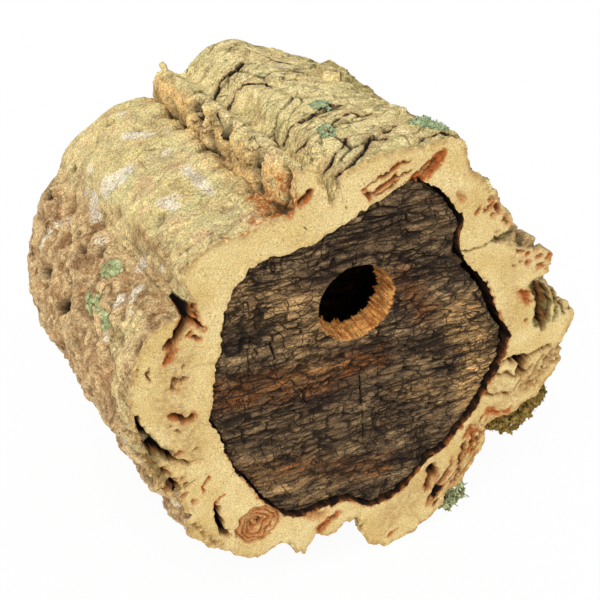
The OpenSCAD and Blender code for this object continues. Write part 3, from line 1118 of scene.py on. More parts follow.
        # the gaps between the wall's lobes are dipped, and they are also painted dark as the shade between
        # the lobes
        lobe_gap_and_shade = fade(1.3, 0.3, lobe_gap)
        height += 0.6 * fractal(base, 20, 3, 1)
        height += zones.crown * (
            1.0 * (flakes.big_tone - 0.5) - 0.7 * flakes.big_slope - 1.0 * flakes.big_crack
            + 0.35 * (flakes.small_tone - 0.5) - 0.4 * flakes.small_crack + 0.3 * crumb
        )
        height += zones.left * (0.55 * crumb + 0.7 * (flakes.small_tone - 0.5) - 0.7 * flakes.small_crack)
        height += 1.3 * zones.crown * fade(17.5, 14.5, place) * fractal(base, 4.0, 4, 47)
        height += 0.5 * zones.wall * np.sin(2.6 * (y + 3.0 * place) + 4.0 * fractal(base, 9, 3, 55))
        height += zones.rough * (
            3.8 * (ridge - 0.75) + 1.5 * crumb - 4.2 * pocks + 0.9 * (flakes.small_tone - 0.5)
        )
        height += zones.under * (
            2.4 * (flakes.big_tone - 0.5) - 2.8 * flakes.furrow + 1.4 * crumb + 2.0 * (ridge - 0.75)
        )
        height += zones.wall * (0.7 * crumb + 0.45 * fractal(base, 2.6, 3, 49) - 2.8 * lobe_gap_and_shade)
        height += 2.0 * band(24.1, 24.6, 25.0, 25.7, place) * fractal(base, 13, 3, 23)
        height += 2.4 * fractal(base, 4.4, 4, 61) * fade(8, 0, y - FRONT_Y)

        crack = np.maximum.reduce([
            0.9 * zones.crown * flakes.big_crack,
            (0.6 * zones.crown + 0.4 * zones.left) * flakes.small_crack,
            0.9 * zones.rough * pocks,
            0.8 * zones.under * flakes.furrow,
            # painted shade between the wall's lobes
            0.95 * zones.wall * lobe_gap_and_shade,
            # painted shade: a dark line along the foot of the groove wall
            0.8 * band(23.8, 24.0, 24.15, 24.4, place) * fade(-0.3, 0.2, fractal(base, 8, 3, 44)),
        ])
        wobble = 0.9 * fractal(base, 4.0, 4, 31)
        for mark in self.pits:
            hit = fade(mark.reach + 0.6, mark.reach - 0.7, path_distance(base, mark.path) + wobble)
            height -= mark.depth * hit
            crack = np.maximum(crack, mark.dark * hit)
        flank = np.zeros_like(y)
        for mark in self.cracks:
            away = path_distance(base, mark.path) + 0.8 * wobble
            height -= 0.45 * mark.depth * fade(0.8 * mark.reach - 0.05, 0.8 * mark.reach - 0.55, away)
            crack = np.maximum(crack, fade(0.7 * mark.reach + 0.35, 0.7 * mark.reach - 0.1, away))
            flank = np.maximum(flank, fade(mark.reach + 2.4, mark.reach, away + wobble))
        for pin in self.pins:
            hit = fade(2.5, 1.9, path_distance(base, (pin,)))
            height -= 5.5 * hit
            crack = np.maximum(crack, 0.8 * hit)
        masks = self.tints(base, place, zones, flakes, flank, wobble)
        masks["crack"] = np.clip(crack, 0, 1)
        masks["wall"] = zones.wall * (1 - 0.4 * crack)
        return BarkField(height, masks)

    def tints(
        self, base: Array, place: Array, zones: Zones, flakes: Flakes, flank: Array, wobble: Array
    ) -> dict[str, Array]:
        """Coloured regions of the bark.

        Args:
            base: Points about the axis, in mm.
            place: Their places along the outline.
            zones: Shares of the regions.
            flakes: Flakes at the points.
            flank: Nearness to the drawn cracks.
            wobble: Noise in mm that frays the marks.

        Returns:
            Masks of the finish.
        """
        crown, left, rough, under = zones.crown, zones.left, zones.rough, zones.under
        specks = 0.7 * fade(0.32, 0.2, flakes.pock_near) * (flakes.pock_tone < 0.2)
        specks = specks * np.clip(left + rough, 0, 1)
        pale = np.maximum(specks, marked(base, self.patches, 0.9, 0.6, 1.1 * wobble))
        brown = rough * fade(-0.15, 0.4, fractal(base, 24, 4, 37)) + 0.55 * under
        brown = np.clip(brown + 0.9 * fade(0.8, 0.6, flakes.ridge) * rough + 0.6 * flank, 0, 1)
        brown = np.maximum(brown, marked(base, self.stains, 5, 5, 6 * wobble))
        bleached = fade(13, 5, path_distance(base, self.bleached) + 3 * wobble)
        green = 0.45 * crown * fade(0.0, 0.45, fractal(base, 26, 3, 41)) + 0.35 * under
        crest = crown * fade(17.5, 14.5, place)
        dusty = np.clip(0.3 * left + 0.3 * crown + 0.8 * rough + 0.5 * zones.wall + under, 0, 1)
        # darker where the crumbs are low, painted shade along the groove foot, and dark spots on the crest
        dirt = np.maximum.reduce([
            fade(0.02, -0.4, flakes.crumb) * dusty,
            # painted shade along the foot of the groove wall
            0.85 * band(23.3, 23.9, 24.2, 24.7, place) * fade(0.3, -0.2, fractal(base, 5, 3, 43)),
            0.9 * crest * fade(0.1, -0.3, fractal(base, 3.2, 4, 45)),
        ])
        return {
            "crown": crown,
            "crest": crest,
            "pale": np.clip(pale, 0, 1),
            "red": marked(base, self.red, 1.5, 1.5, 4 * wobble),
            "brown": brown * (1 - 0.8 * bleached),
            "green": np.clip(green, 0, 1),
            "dirt": np.clip(dirt, 0, 1),
            "tan": np.clip(rough * (1 - 0.7 * bleached) + 0.6 * under, 0, 1),
        }


FRONT_GASHES: tuple[Gash, ...] = (
    # Upper left cavity and slits
    Gash(((-74.6, 50.5), (-74.4, 46), (-77.4, 40.5), (-80.4, 36.8)), 1.9, 13, red=0.7, halo=1.8),
    Gash(((-81.4, 57), (-77.8, 54.6), (-75, 51)), 1.0, 11, red=0.5, halo=1.6),
    Gash(((-74, 44.4), (-71, 43.6), (-67.8, 40)), 0.6, 6, red=1.0, halo=1.8),
    Gash(((-71.8, 51.6), (-70.4, 47.4)), 0.5, 5, red=1.0, halo=1.8),
    Gash(((-71.6, 51), (-71.2, 45)), 1.4, 3.0, red=0.9, halo=1.6),
    Gash(((-73, 40), (-70, 36.5)), 0.8, 4.0, red=0.9, halo=1.6),
    Gash(((-79.5, 34.5), (-83, 29.8)), 0.8, 2.4, red=0.9, halo=1.8),
    # Splits of the left wall
    Gash(((-79.5, 18), (-78, 20)), 2.6, 3.0, red=0.2, halo=2.5),
    Gash(((-77.9, 25.1), (-76, 26.5)), 0.7, 3),
    Gash(((-93, 31), (-92.4, 27.5)), 0.4, 3),
    Gash(((-88.8, 29.5), (-89.2, 23.5)), 0.5, 4),
    Gash(((-81.4, 5.8), (-77.8, 2.2), (-73.9, 2.6)), 1.2, 5, red=1.0, halo=1.6),
    # Gap behind the loose strip
    Gash(((-95.6, 8.8), (-94.3, 3)), 0.7, 18, halo=0.8),
    Gash(((-94.3, 3), (-92.6, -3)), 1.3, 22, halo=0.8, moss=0.5),
    Gash(((-92, -3.5), (-89.6, -8.4)), 1.7, 14, halo=1.6, moss=1.0),
    Gash(((-88.6, -9.4), (-85.7, -11.6)), 1.4, 7, halo=2.4, bark=0.9, moss=0.6),
    Gash(((-85.7, -11.6), (-81.3, -16), (-77, -18.6)), 0.8, 9, halo=2.0, bark=0.9),
    Gash(((-92.4, -10), (-88, -22)), 1.6, 2.0, halo=2.0, bark=0.9, moss=0.5),
    Gash(((-86.4, -18), (-84.2, -30)), 1.4, 4, halo=2.6, bark=1.0),
    Gash(((-84.6, -24), (-83.2, -31)), 0.8, 12, bark=1.0),
    Gash(((-97.4, 3), (-95.6, -8), (-91, -21), (-87, -30)), 1.2, 1.2, halo=1.6, bark=0.7),
    # Slits of the lower left wall
    Gash(((-83.3, 0.9), (-79, -4.5)), 0.4, 3),
    Gash(((-81.5, -12.3),), 1.1, 3, red=1.0),
    Gash(((-74.6, -14.1), (-73.2, -13.6)), 0.5, 3),
    Gash(((-77.4, -17.3), (-72.2, -18.8)), 0.4, 3, red=0.5),
    Gash(((-69.9, -29.8), (-71.7, -32.2), (-71.8, -35.3)), 0.6, 1.6, red=1.0, halo=0.9),
    Gash(((-63.7, -40.1), (-65.8, -41.9), (-66.8, -45.2)), 0.6, 1.6, red=1.0, halo=0.9),
    # Worn lower left
    Gash(((-66.1, -46.5), (-67.1, -52.1), (-63.3, -62.6)), 1.3, 11, halo=1.4, bark=0.5),
    Gash(((-77, -50), (-72, -60), (-66, -66)), 1.0, 2.0, halo=3.0, bark=0.4),
    # Stains and slits of the bottom
    Gash(((-20.6, -77.5), (-17.4, -74.2), (-14, -72.1)), 1.3, 3.5, red=1.0, halo=1.8),
    Gash(((-26, -67), (-20, -68.5)), 1.6, 1.8, red=0.5, halo=3.0),
    Gash(((13.4, -95.8), (16.9, -92.9)), 0.7, 4, red=1.0),
    Gash(((-6, -80), (-3, -86)), 1.0, 5, halo=2.5, bark=0.7),
    # Lower right cavities and shreds
    Gash(((33.4, -63.4), (35.2, -65.4), (35.0, -68.2), (33.6, -68.6)), 2.5, 15, red=0.6, halo=2.2),
    Gash(((33.1, -70.4), (32, -72.7), (31.8, -75)), 1.3, 10, red=0.9, halo=1.8),
    Gash(((48.2, -55.2), (49.5, -58), (49.7, -60.7), (48.6, -63.2), (48, -66)), 0.9, 12, red=0.5, halo=1.8),
    Gash(
        ((42.6, -70.5), (40.7, -73.4), (38.4, -76.7), (36.1, -81.3), (33.7, -84.9)),
        0.8, 9, red=0.7, halo=1.6, bark=0.6,
    ),
    Gash(((48.3, -71.2), (47.2, -74.1), (45.3, -77.3)), 0.8, 10, red=0.6, halo=1.6, bark=0.6),
    Gash(((52.1, -48.2), (54.7, -52.6), (54, -56.4), (53.3, -60.3)), 2.2, 1.6, red=0.7, halo=2.6, bark=0.7),
    Gash(((53.6, -54), (53.2, -58)), 0.7, 4.4, red=1.0, halo=1.4),
    Gash(((56.8, -52.2), (57.4, -55.9)), 0.5, 7, halo=1.0),
    Gash(((53, -64), (49, -72), (44, -80)), 2.6, 0.5, halo=3.0, bark=0.5),
    Gash(((45, -66), (40, -70), (36, -77)), 2.2, 0.4, halo=3.0, bark=0.4),
    Gash(((38, -70), (36, -76)), 0.4, 3, red=0.7),
    Gash(((44, -60), (43, -66)), 0.4, 2, red=0.7, halo=2.0),
    Gash(((58.9, -41.5), (65, -43.6), (70.7, -44.4)), 0.9, 1.6, red=1.0, halo=1.8),
    Gash(((51.5, -50.5), (56.6, -51.5)), 1.2, 1.4, red=0.9, halo=3.2),
    # Right recess and its streaks
    Gash(((71.6, -17.4), (76.4, -18.6), (75.2, -24.6)), 2.7, 15, halo=1.8, bark=0.6),
    Gash(((77, -18), (82, -16), (88, -15.6)), 1.0, 12, bark=0.6),
    Gash(((63.5, -16.6), (68, -15.6), (72, -15)), 0.8, 7, halo=1.8, bark=0.6),
    Gash(((64, -21.6), (69, -24.4), (73.4, -27.6)), 0.6, 4.6, halo=2.0, bark=0.7),
    Gash(((81, -22), (77.6, -27), (73, -33)), 0.6, 5, halo=2.4, bark=0.8),
    Gash(((86, -19), (82, -26), (76.4, -33)), 0.5, 4.6, halo=2.0, bark=0.7),
    Gash(((80, -34), (87, -27), (93, -20)), 4.0, 1.8, halo=2.5, bark=0.55),
    Gash(((79, -35), (86, -28), (92, -20)), 0.4, 5, halo=2.0, bark=0.6),
    Gash(((58.8, -31), (70.7, -35.5)), 0.9, 4, bark=0.7, halo=1.8),
    # Slashes of the top
    Gash(((24.6, 87), (22.4, 84.6), (19.3, 82), (15.6, 80.6)), 2.6, 1.8, red=1.0, halo=0.9, bark=0.6),
    Gash(((24.6, 86), (21, 82.2), (15.6, 79.8)), 0.4, 6, red=0.8, halo=0.8),
    Gash(((22, 86.6), (18.4, 83.6), (14, 82)), 0.3, 5, red=0.8, halo=0.7),
    Gash(((-4.2, 81), (-1.3, 83.5), (2.7, 85.2), (7.5, 87), (12.7, 88.6)), 0.2, 7, red=0.7, halo=0.9),
    Gash(((2, 84.8), (7.5, 87)), 0.6, 7, red=0.9, halo=1.2),
    Gash(((-3, 77.6), (0.9, 80), (5.7, 82.4), (11.9, 84.2)), 0.2, 6, red=0.9, halo=1.0),
    Gash(((-1, 79), (2, 80.8), (6.4, 82.8)), 0.8, 6, red=1.0, halo=1.7),
    Gash(((0.2, 77.6), (5, 79.2), (9, 82)), 0.25, 5, red=0.6, halo=0.9),
    Gash(((-4.4, 80.6), (-3, 77.4)), 1.0, 2.5, red=0.9, halo=1.0),
    # Upper right specks and the seam
    Gash(((34.7, 71.1), (36.4, 66.9)), 0.8, 1.0, red=0.5, halo=1.4),
    Gash(((44.9, 62.4), (43.6, 60.4)), 0.7, 3, red=0.9),
    Gash(((50.3, 62), (49.5, 60.5)), 0.6, 3, red=0.9),
    Gash(((52.4, 60.6), (53.4, 58.2)), 0.8, 5, red=0.8),
    Gash(((57.5, 55.2),), 1.1, 5, red=0.9, halo=2.0),
    Gash(((45.3, 49.3),), 0.4, 2),
    Gash(((37, 44.3), (45.9, 44.3), (53.1, 45.1), (60, 45.8)), 0.35, 9, halo=0.5),
    Gash(((54, 46.4), (60, 47.5)), 1.0, 3, halo=1.6, moss=0.8),
    Gash(((70.5, 35.3),), 0.7, 4, red=1.0, halo=1.8),
    Gash(((76.9, 27.5), (79.5, 28.3)), 0.7, 4, red=1.0, halo=1.6),
    Gash(((65.2, 31.5),), 0.6, 3, red=0.5),
    Gash(((71.1, 30.9),), 0.7, 3, red=0.8, halo=1.6),
    Gash(((80.8, 31.7),), 1.0, 2, red=0.8, halo=2.2),
    Gash(((75, 33),), 0.5, 2, red=0.9, halo=2.0),
    Gash(((68.5, 18.6), (71.2, 15.6), (73.6, 12.4)), 1.0, 1.6, red=1.0, halo=2.4),
    # Mossy furrows of the right wall
    Gash(((77, 19.6), (80.8, 9.5), (82.4, 0)), 3.0, 3.4, moss=0.85, halo=1.4),
    Gash(((77.6, 18), (81.4, 8.6), (82.6, 0), (83.6, -4.6)), 0.8, 9, moss=1.0),
    Gash(((75.2, 20), (78.6, 9.5), (80.4, 1)), 0.3, 6, moss=1.0, halo=0.8),
    Gash(((81.2, 18), (85, 9), (86.2, -1)), 0.5, 6, moss=0.9, halo=1.4),
    Gash(((85.4, 14.4), (88.4, 7), (89, -2)), 0.3, 4, moss=0.7, halo=1.5),
    Gash(((90, 7), (93, 0)), 0.3, 3, moss=0.7, halo=1.4),
    Gash(((74, 1.9),), 0.9, 5, red=0.6),
    # Pores beside the groove
    Gash(((-30.6, 81), (-28.6, 82.6)), 1.0, 6, red=1.0, halo=1.6),
    Gash(((-27.5, 83.2), (-26.6, 84.6)), 0.7, 6, red=1.0),
    Gash(((-35.5, 90), (-32.6, 84), (-34.4, 78)), 1.0, 1.0, red=0.9, halo=2.0),
    Gash(((-12.2, 76.4), (-12, 75)), 0.4, 2),
    Gash(((-28.6, 71.6), (-28.3, 70.4)), 0.35, 2),
    Gash(((-9.2, 82.5),), 0.5, 2),
    # Faint broad stains
    Gash(((-58.3, 74.4), (-59.7, 75)), 1.0, 2.0, bark=0.8, halo=2.0),
    Gash(((-79, 30), (-82, 8), (-76, -12)), 3.0, 0.1, bark=0.55, halo=7.0),
    Gash(((12, -84), (24, -76), (34, -66)), 3.0, 0.1, bark=0.5, halo=6.0),
    Gash(((62, 34), (66, 10), (62, -10)), 2.0, 0.1, bark=0.25, halo=6.0),
    Gash(((60, -24), (72, -38), (62, -44)), 2.0, 0.3, bark=0.5, halo=5.0),
)

REAR_GASHES: tuple[Gash, ...] = (
    Gash(((-80, 40), (-84, 28), (-83, 18)), 1.6, 9, red=0.8, halo=2.0),
    Gash(((-70, -58), (-62, -70)), 1.8, 8, red=0.6),
    Gash(((26, -82), (36, -84)), 1.2, 5, red=1.0),
    Gash(((37, 44.3), (50, 45), (66, 47), (74, 49)), 0.4, 8, halo=0.5),
    Gash(((82, -8), (88, -20)), 1.6, 8, moss=0.5),
    Gash(((4, 84), (14, 85)), 0.8, 4, red=1.0),
    Gash(((-40, 66), (-52, 66)), 0.6, 3, red=0.9),
    Gash(((76, 22), (82, 12)), 0.9, 4, red=0.9),
)


@dataclass(frozen=True)
class Strip:
    """A lengthwise strip of the outside, between two places along the outline."""

    name: str
    start: float
    end: float
    columns: int
    rows: int


@dataclass
class BarkTube:
    """The tube of cork bark: its outside in three strips, two sawn faces and the hollow."""

    sections: Sections = field(default_factory=Sections)
    relief: BarkRelief = field(default_factory=BarkRelief)
    strips: tuple[Strip, ...] = (
        Strip("bark_under", -21.0, 10.5, 400, 190),
        Strip("bark_crown", 10.5, 24.6, 340, 285),
        Strip("bark_left", 24.6, 47.0, 440, 215),
    )
    face_rows: int = 84
    rear_rows: int = 30
    hollow_rows: int = 60
    knot: Triple = (-49.6, -62.6, 9.6)
    shreds: Path2 = ((55, -48), (52, -60), (46, -70), (38, -82))
    crumbly: tuple[Path2, ...] = (
        ((68, 39), (76, 33), (82, 29)),
        ((52, 61), (57, 55)),
        ((-84, -26), (-80, -40)),
    )

    def sawn(self, x: Array, z: Array, gashes: tuple[Gash, ...], seed: float) -> tuple[Array, dict]:
        """Depth and stains of a sawn face.

        Args:
            x: Sideways places about the axis.
            z: Heights about the axis.
            gashes: Openings and stains of the face.
            seed: Shift of its noise.

        Returns:
            Depth in mm and the masks of the finish.
        """
        solid = space(x, seed * 50, z)
        drift = [
            1.5 * fractal(solid, 6, 3, seed + k) + 0.5 * fractal(solid, 1.8, 2, seed + k + 4) for k in (0, 2)
        ]
        spot = np.stack([x + drift[0], z + drift[1]], axis=1)
        torn = fade(-0.5, 0.15, fractal(solid, 2.4, 3, seed + 9))
        depth = np.zeros_like(x)
        stain = {"red": depth, "moss": depth, "bark": depth}
        for gash in gashes:
            away = path_distance(spot, gash.path)
            hit = fade(gash.reach + 0.35, gash.reach - 0.45, away)
            shallow = 1.0 < gash.depth < 4.5
            depth = np.maximum(depth, gash.depth * hit * (torn if shallow else 1.0))
            halo = fade(gash.reach + gash.halo, gash.reach - 0.3, away + 0.5 * drift[1])
            for label in stain:
                stain[label] = np.maximum(stain[label], getattr(gash, label) * halo)
        # how dark the face is painted as shade: its cut depth, raised further by the wear at the front
        opened_and_shade = depth
        if gashes is FRONT_GASHES:
            depth, opened_and_shade = self.wear(solid, spot, torn, depth, stain)
        grainy = 0.18 * fractal(solid, 2.2, 3, seed + 2) + 0.35 * fractal(solid, 11, 2, seed + 3)
        # the open mask paints the openings as shade, darker with depth
        return depth + np.clip(grainy + 0.2, 0, 1), {"open": np.clip(opened_and_shade / 7.0, 0, 1), **stain}

    def wear(
        self, solid: Array, spot: Array, torn: Array, depth: Array, stain: dict[str, Array]
    ) -> tuple[Array, Array]:
        """Add the knot, the shreds and the crumbled edges of the front face.

        Args:
            solid: Points of the face in space.
            spot: The same points in the face, pulled about by noise.
            torn: Where the face is torn.
            depth: Depth in mm so far.
            stain: Stains by name, which are added to.

        Returns:
            Depth in mm, and how far each place is painted dark as shade, beyond its cut at the knot, shreds
            and crumbled edges.
        """
        x, z = solid[:, 0], solid[:, 2]
        knot_x, knot_z, reach = self.knot
        away = np.hypot(spot[:, 0] - knot_x, spot[:, 1] - knot_z)
        inside = fade(reach + 0.5, reach - 0.5, away)
        rings = np.sin(away * 2.9 + 2.5 * fractal(solid, 6, 3, 4))
        core = fade(2.0, 0.8, np.hypot(spot[:, 0] - knot_x - 2.4, spot[:, 1] - knot_z + 0.4))
        # the knot's rings and core are painted as shade beyond their cut depth
        opened_and_shade = np.maximum(depth, 2.6 * inside * fade(0.1, 0.9, rings) * torn + 6 * core)
        depth = np.maximum(depth, inside * (1.4 + 0.8 * rings + 1.8 * fade(7, 0, away)) + 4 * core)

        grain = space(0.81 * x - 0.58 * z, 0.0, 0.12 * (0.58 * x + 0.81 * z))
        threads = fractal(grain, 2.4, 3, 6)
        shred = fade(7.0, 3.0, path_distance(spot, self.shreds))
        # the shreds are painted as shade deeper than they are cut
        opened_and_shade = np.maximum(opened_and_shade, 6.5 * shred * fade(0.12, 0.28, threads))
        depth = depth + 2.2 * shred * fade(-0.05, 0.3, threads)

        _, near, tone, _ = plates(space(spot[:, 0] / 3.4, 0.0, spot[:, 1] / 2.8))
        worn = np.maximum.reduce([fade(8.0, 2.5, path_distance(spot, path)) for path in self.crumbly])
        worn = worn * (tone > 0.4)
        # the crumbled edges are painted as shade deeper than they are cut
        opened_and_shade = np.maximum(opened_and_shade, 5.0 * worn * fade(0.36, 0.12, near))
        depth = depth + 2.4 * worn * fade(0.4, 0.2, near)

        stain["red"] = np.maximum.reduce([
            stain["red"],
            inside * (0.8 + 0.2 * rings),
            0.8 * shred * fade(0.0, 0.2, threads),
            0.7 * worn * fade(0.7, 0.3, near),
        ])
        stain["bark"] = np.maximum(stain["bark"], 0.5 * shred * fade(0.05, -0.3, threads))
        return depth, opened_and_shade

    def columns(self, strip: Strip) -> Array:
        """Spread the columns of a strip.

        Args:
            strip: A start below 0 lies before the outline's first point.

        Returns:
            Places along the outline.
        """
        if strip.start >= 0:
            return self.sections.spread(strip.start, strip.end, strip.columns)
        before = 2 * strip.columns // 3
        first = self.sections.spread(OUTLINE_POINTS + strip.start, OUTLINE_POINTS, before) - OUTLINE_POINTS
        return np.concatenate([first, self.sections.spread(0, strip.end, strip.columns - before + 1)[1:]])

    def outside(self, effects: Effects) -> tuple[Array, Array, Array]:
        """Build the three outside strips.

        Args:
            effects: Shared groups.

        Returns:
            Front edge, rear edge and places of all columns.
        """
        material = BarkFinish().material(effects)
        fronts, rears, places = [], [], []
        for strip in self.strips:
            count, rows = strip.columns, strip.rows
            place = self.columns(strip)
            wrapped = place % OUTLINE_POINTS
            along = self.sections.along(wrapped)
            edge = self.sections.outside(wrapped, np.full(count, FRONT_Y))
            crumble = self.relief.survey(edge, wrapped, along).height
            radial = edge[:, [0, 2]] / np.linalg.norm(edge[:, [0, 2]], axis=1)[:, None]
            rim = edge[:, [0, 2]] + 0.55 * crumble[:, None] * radial
            first = FRONT_Y + self.sawn(rim[:, 0], rim[:, 1], FRONT_GASHES, 1.0)[0]
            last = REAR_Y - self.sawn(rim[:, 0], rim[:, 1], REAR_GASHES, 2.0)[0] * 0.5
            share = np.linspace(0.0, 1.0, rows)[:, None]
            y = first + (last - first) * share
            columns = np.broadcast_to(wrapped, y.shape).ravel()
            wound = (columns + self.winding(columns, y.ravel())) % OUTLINE_POINTS
            base = self.sections.outside(wound, y.ravel())
            bark = self.relief.survey(base, columns, np.broadcast_to(along, y.shape).ravel())
            ends = 0.5 + 0.5 * fade(0, 7, base[:, 1] - FRONT_Y) * fade(0, 7, REAR_Y - base[:, 1])
            points = base + (ends * bark.height)[:, None] * self.normals(columns, base)
            points = points.reshape(rows, count, 3)
            points[:, :, 0] -= self.overhang(columns, y.ravel()).reshape(y.shape)
            points[:, :, 1] = y
            points[:, :, 2] = np.maximum(points[:, :, 2] + AXIS_HEIGHT, 0.0)
            masks = {label: values.reshape(rows, count) for label, values in bark.masks.items()}
            settle(lay_grid(strip.name, points, masks, True), material, Body.HOUSE, Slot.CORK, "bark_tube")
            fronts.append(points[0])
            rears.append(points[-1])
            places.append(place)
        return np.concatenate(fronts), np.concatenate(rears), np.concatenate(places)

    @staticmethod
    def winding(place: Array, y: Array) -> Array:
        """Let the groove beside the crown wind.

        Args:
            place: Places along the outline.
            y: Depths.

        Returns:
            Shifts of the places.
        """
        near = band(19.8, 21.6, 25.0, 28.0, place) * fade(2, 16, y - FRONT_Y)
        run = space(0.0, y, 0.0)
        spot = space(place * 7, y, 0.0)
        return near * (0.35 * fractal(run, 34, 2, 51) + 0.25 * fractal(spot, 11, 3, 52))

    @staticmethod
    def overhang(place: Array, y: Array) -> Array:
        """Lean the torn edge of the crown over the groove.

        Args:
            place: Places along the outline.
            y: Depths.

        Returns:
            How far it leans, in mm.
        """
        lip = band(20.9, 22.0, 22.3, 23.1, place) * fade(4, 16, y - FRONT_Y)
        run = space(place * 1.5, y, 0.0)
        return lip * np.clip(1.2 + 2.8 * fractal(run, 12, 3, 53), 0, 4)

    def normals(self, place: Array, base: Array) -> Array:
        """Find the plain form's outward directions, square to the tube axis.

        Args:
            place: Places along the outline.
            base: Points of the plain form there.

        Returns:
            Directions of length 1.
        """
        ahead, behind = (
            self.sections.outside((place + step) % OUTLINE_POINTS, base[:, 1]) for step in (0.35, -0.35)
        )
        run = ahead - behind
        turned = space(run[:, 2], 0.0, -run[:, 0])
        return turned / np.linalg.norm(turned, axis=1)[:, None]

    def faces(self, effects: Effects, fronts: Array, rears: Array, places: Array) -> None:
        """Build the two sawn faces and the hollow between them.

        Args:
            effects: Shared groups.
            fronts: Front edge of the outside.
            rears: Rear edge of the outside.
            places: Places of the columns along the outside.
        """
        plain = self.sections.outside(places % OUTLINE_POINTS, np.zeros(len(places)))
        angle = np.unwrap(np.arctan2(plain[:, 2], plain[:, 0]))
        angle = np.maximum.accumulate(angle)
        window, more = np.ones(25) / 25, 39
        padded = np.concatenate([angle[-1 - more:-1] - 2 * np.pi, angle, angle[1:1 + more] + 2 * np.pi])
        angle = np.convolve(padded, window, mode="same")[more:-more]
        wall = self.sections.inside(angle)
        radial = wall / np.linalg.norm(wall, axis=1)[:, None]
        material = SawnFinish().material(effects)
        rims = []
        sides = (
            ("sawn_front", fronts, FRONT_GASHES, 1.0, self.face_rows, -1),
            ("sawn_rear", rears, REAR_GASHES, 2.0, self.rear_rows, 1),
        )
        for name, edge, gashes, seed, count, side in sides:
            solid = space(wall[:, 0], side * 9.0, wall[:, 1])
            bite = 0.35 + 1.1 * fractal(solid, 2.8, 3, seed + 5) + 0.4 * fractal(solid, 9, 2, seed + 6)
            inner = wall + np.clip(bite, 0, 1.4)[:, None] * radial
            share = np.linspace(0.0, 1.0, count)[:, None, None]
            flat = (1 - share) * (edge[:, [0, 2]] - (0, AXIS_HEIGHT)) + share * inner
            depth, masks = self.sawn(flat[:, :, 0].ravel(), flat[:, :, 1].ravel(), gashes, seed)
            outer = np.linalg.norm(flat - flat[:1], axis=2)
            masks["rim"] = (fade(3.5, 0.3, outer) * 0.8).ravel()
            solid = space(flat[:, :, 0].ravel(), 0.0, flat[:, :, 1].ravel())
            fray = 1.4 * fractal(solid, 3.4, 3, seed + 7).reshape(outer.shape)
            within = np.linalg.norm(flat - flat[-1:], axis=2) + fray
            lower = fade(0.3, -0.3, np.sin(angle - 0.5))[None, :]
            masks["bark"] = np.maximum(masks["bark"], ((0.35 + 0.6 * lower) * fade(1.6, 0.2, within)).ravel())
            masks["red"] = np.maximum(masks["red"], (0.75 * lower * fade(0.9, -0.2, within)).ravel())
            level = side * (REAR_Y - depth.reshape(flat.shape[:2]) * (1.0 if side < 0 else 0.5))
            points = np.stack([flat[:, :, 0], level, flat[:, :, 1] + AXIS_HEIGHT], axis=2)
            points[0] = edge
            masks = {label: values.reshape(flat.shape[:2]) for label, values in masks.items()}
            settle(lay_grid(name, points, masks, side > 0), material, Body.HOUSE, Slot.CORK, "bark_tube")
            rims.append(points[-1])
        self.hollow(effects, rims, radial)

    def hollow(self, effects: Effects, rims: list[Array], radial: Array) -> None:
        """Build the wall of the hollow, with its painted shade.

        Args:
            effects: Shared groups.
            rims: Inner edges of the front and the rear face.
            radial: Outward directions at the wall.
        """
        share = np.linspace(0.0, 1.0, self.hollow_rows)[:, None, None] ** 2.0
        points = (1 - share) * rims[0] + share * rims[1]
        solid = (points - (0, 0, AXIS_HEIGHT)).reshape(-1, 3)
        dents = np.clip(0.6 * fractal(solid, 7, 4, 8) + 0.3, 0, 1.3).reshape(points.shape[:2])
        dents[0] = dents[-1] = 0
        points[:, :, 0] += dents * radial[:, 0]
        points[:, :, 2] += dents * radial[:, 1]
        # painted shade: the wall turns near black from a few mm behind the front and in its dents
        deep = fade(0.4, 2.6, points[:, :, 1] - FRONT_Y) * fade(0.5, 6.0, REAR_Y - points[:, :, 1])
        crack = np.clip(fade(0.6, 1.2, dents) + 0.86 * deep, 0, 1)
        piece = lay_grid("bark_hollow", points, {"crack": crack}, False)
        settle(piece, HollowFinish().material(effects), Body.HOUSE, Slot.CORK, "bark_tube")

    def build(self, effects: Effects) -> None:
        """Build and dress the whole tube."""
        self.faces(effects, *self.outside(effects))


@dataclass(frozen=True)
class Tint:
    """A coloured region of a panel, drawn along a path about the axis."""

    label: str
    path: Path2
    reach: float
    soft: float
    amount: float = 1.0


